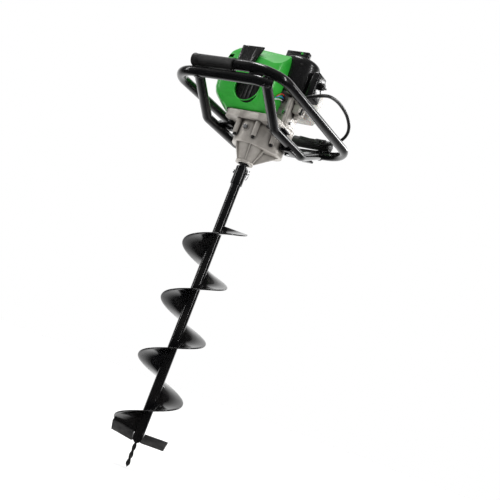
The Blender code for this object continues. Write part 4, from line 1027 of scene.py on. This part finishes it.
def area_light(name, at, aim, size, power):
    data = bpy.data.lights.new(name, "AREA")
    data.shape = "RECTANGLE"
    data.size, data.size_y = size
    data.energy = power
    obj = bpy.data.objects.new(name, data)
    obj.location = at
    obj.rotation_euler = (Vector(at) - Vector(aim)).to_track_quat("Z", "Y").to_euler()
    bpy.context.scene.collection.objects.link(obj)


def sky(tree, upward, low, high, dark, bright):
    """A backdrop that runs from one shade below to another overhead."""
    ramp = tree.nodes.new("ShaderNodeValToRGB")
    first, last = ramp.color_ramp.elements
    first.position, last.position = low, high
    first.color, last.color = (*dark, 1), (*bright, 1)
    backdrop = tree.nodes.new("ShaderNodeBackground")
    tree.links.new(upward.outputs["Result"], ramp.inputs["Fac"])
    tree.links.new(ramp.outputs["Color"], backdrop.inputs["Color"])
    return backdrop


def studio_world():
    """A white backdrop; matt surfaces are lit from overhead, gloss sees a dark room with a pale screen."""
    world = bpy.data.worlds.new("studio")
    world.use_nodes = True
    tree = world.node_tree
    backdrop = tree.nodes["Background"]
    backdrop.inputs["Color"].default_value = (1, 1, 1, 1)
    split = tree.nodes.new("ShaderNodeSeparateXYZ")
    upward = tree.nodes.new("ShaderNodeMapRange")
    upward.inputs["From Min"].default_value = -1
    path = tree.nodes.new("ShaderNodeLightPath")
    place = tree.nodes.new("ShaderNodeTexCoord")
    tree.links.new(place.outputs["Generated"], split.inputs["Vector"])
    tree.links.new(split.outputs["Z"], upward.inputs["Value"])
    soft = sky(tree, upward, 0.30, 0.95, (0.22, 0.22, 0.22), (1.0, 1.0, 1.0))
    soft.inputs["Strength"].default_value = SOFT_STRENGTH
    room = sky(tree, upward, 0.50, 0.97, (0.008, 0.008, 0.009), (0.26, 0.255, 0.25))
    screen = tree.nodes.new("ShaderNodeBackground")
    screen.inputs["Strength"].default_value = SCREEN_STRENGTH
    ahead = tree.nodes.new("ShaderNodeVectorMath")
    ahead.operation = "DOT_PRODUCT"
    ahead.inputs[1].default_value = BACKDROP
    edge = tree.nodes.new("ShaderNodeMapRange")
    edge.inputs["From Min"].default_value = 0.38
    edge.inputs["From Max"].default_value = 0.80
    tree.links.new(place.outputs["Generated"], ahead.inputs[0])
    tree.links.new(ahead.outputs["Value"], edge.inputs["Value"])
    hung = tree.nodes.new("ShaderNodeMixShader")
    tree.links.new(edge.outputs["Result"], hung.inputs["Fac"])
    tree.links.new(room.outputs["Background"], hung.inputs[1])
    tree.links.new(screen.outputs["Background"], hung.inputs[2])
    last = backdrop
    for output, kind in (("Is Diffuse Ray", soft), ("Is Glossy Ray", hung)):
        mix = tree.nodes.new("ShaderNodeMixShader")
        tree.links.new(path.outputs[output], mix.inputs["Fac"])
        tree.links.new(last.outputs[0], mix.inputs[1])
        tree.links.new(kind.outputs[0], mix.inputs[2])
        last = mix
    tree.links.new(last.outputs["Shader"], tree.nodes["World Output"].inputs["Surface"])
    bpy.context.scene.world = world
    bpy.context.scene.view_settings.view_transform = "Standard"


def floor():
    mesh = bpy.data.meshes.new("floor")
    bm = bmesh.new()
    bmesh.ops.create_grid(bm, x_segments=1, y_segments=1, size=60)
    bm.to_mesh(mesh)
    bm.free()
    obj = link(mesh, "floor")
    obj.location.z = CAD_BOX[0][2] - 0.002
    obj.visible_glossy = False
    n = Nodes("pale_floor")
    n.feed(Base_Color=n.ramp(n.noise(2), 0.3, 0.7, (0.96, 0.96, 0.96), (0.98, 0.98, 0.98)))
    n.set(Roughness=0.9, Specular_IOR_Level=0.1)
    obj.data.materials.append(n.material)


def studio():
    floor()
    studio_world()
    area_light("overhead", (-0.5, -0.6, 2.2), (0, 0, 0), (1.3, 0.5), 34)
    area_light("front_left", (-2.2, -1.6, 0.6), (0, 0, -0.1), (0.22, 2.2), 16)
    area_light("right_strip", (2.3, 0.1, 0.6), (0.05, 0, -0.1), (0.14, 2.0), 18)
    area_light("back_strip", (0.9, 2.2, 1.0), (0, 0, 0), (1.4, 0.25), 16)


camera()
cables()
handle_frame()
frame_fittings()
castings()
shroud()
starter()
intake_and_fuel()
bit()
studio()
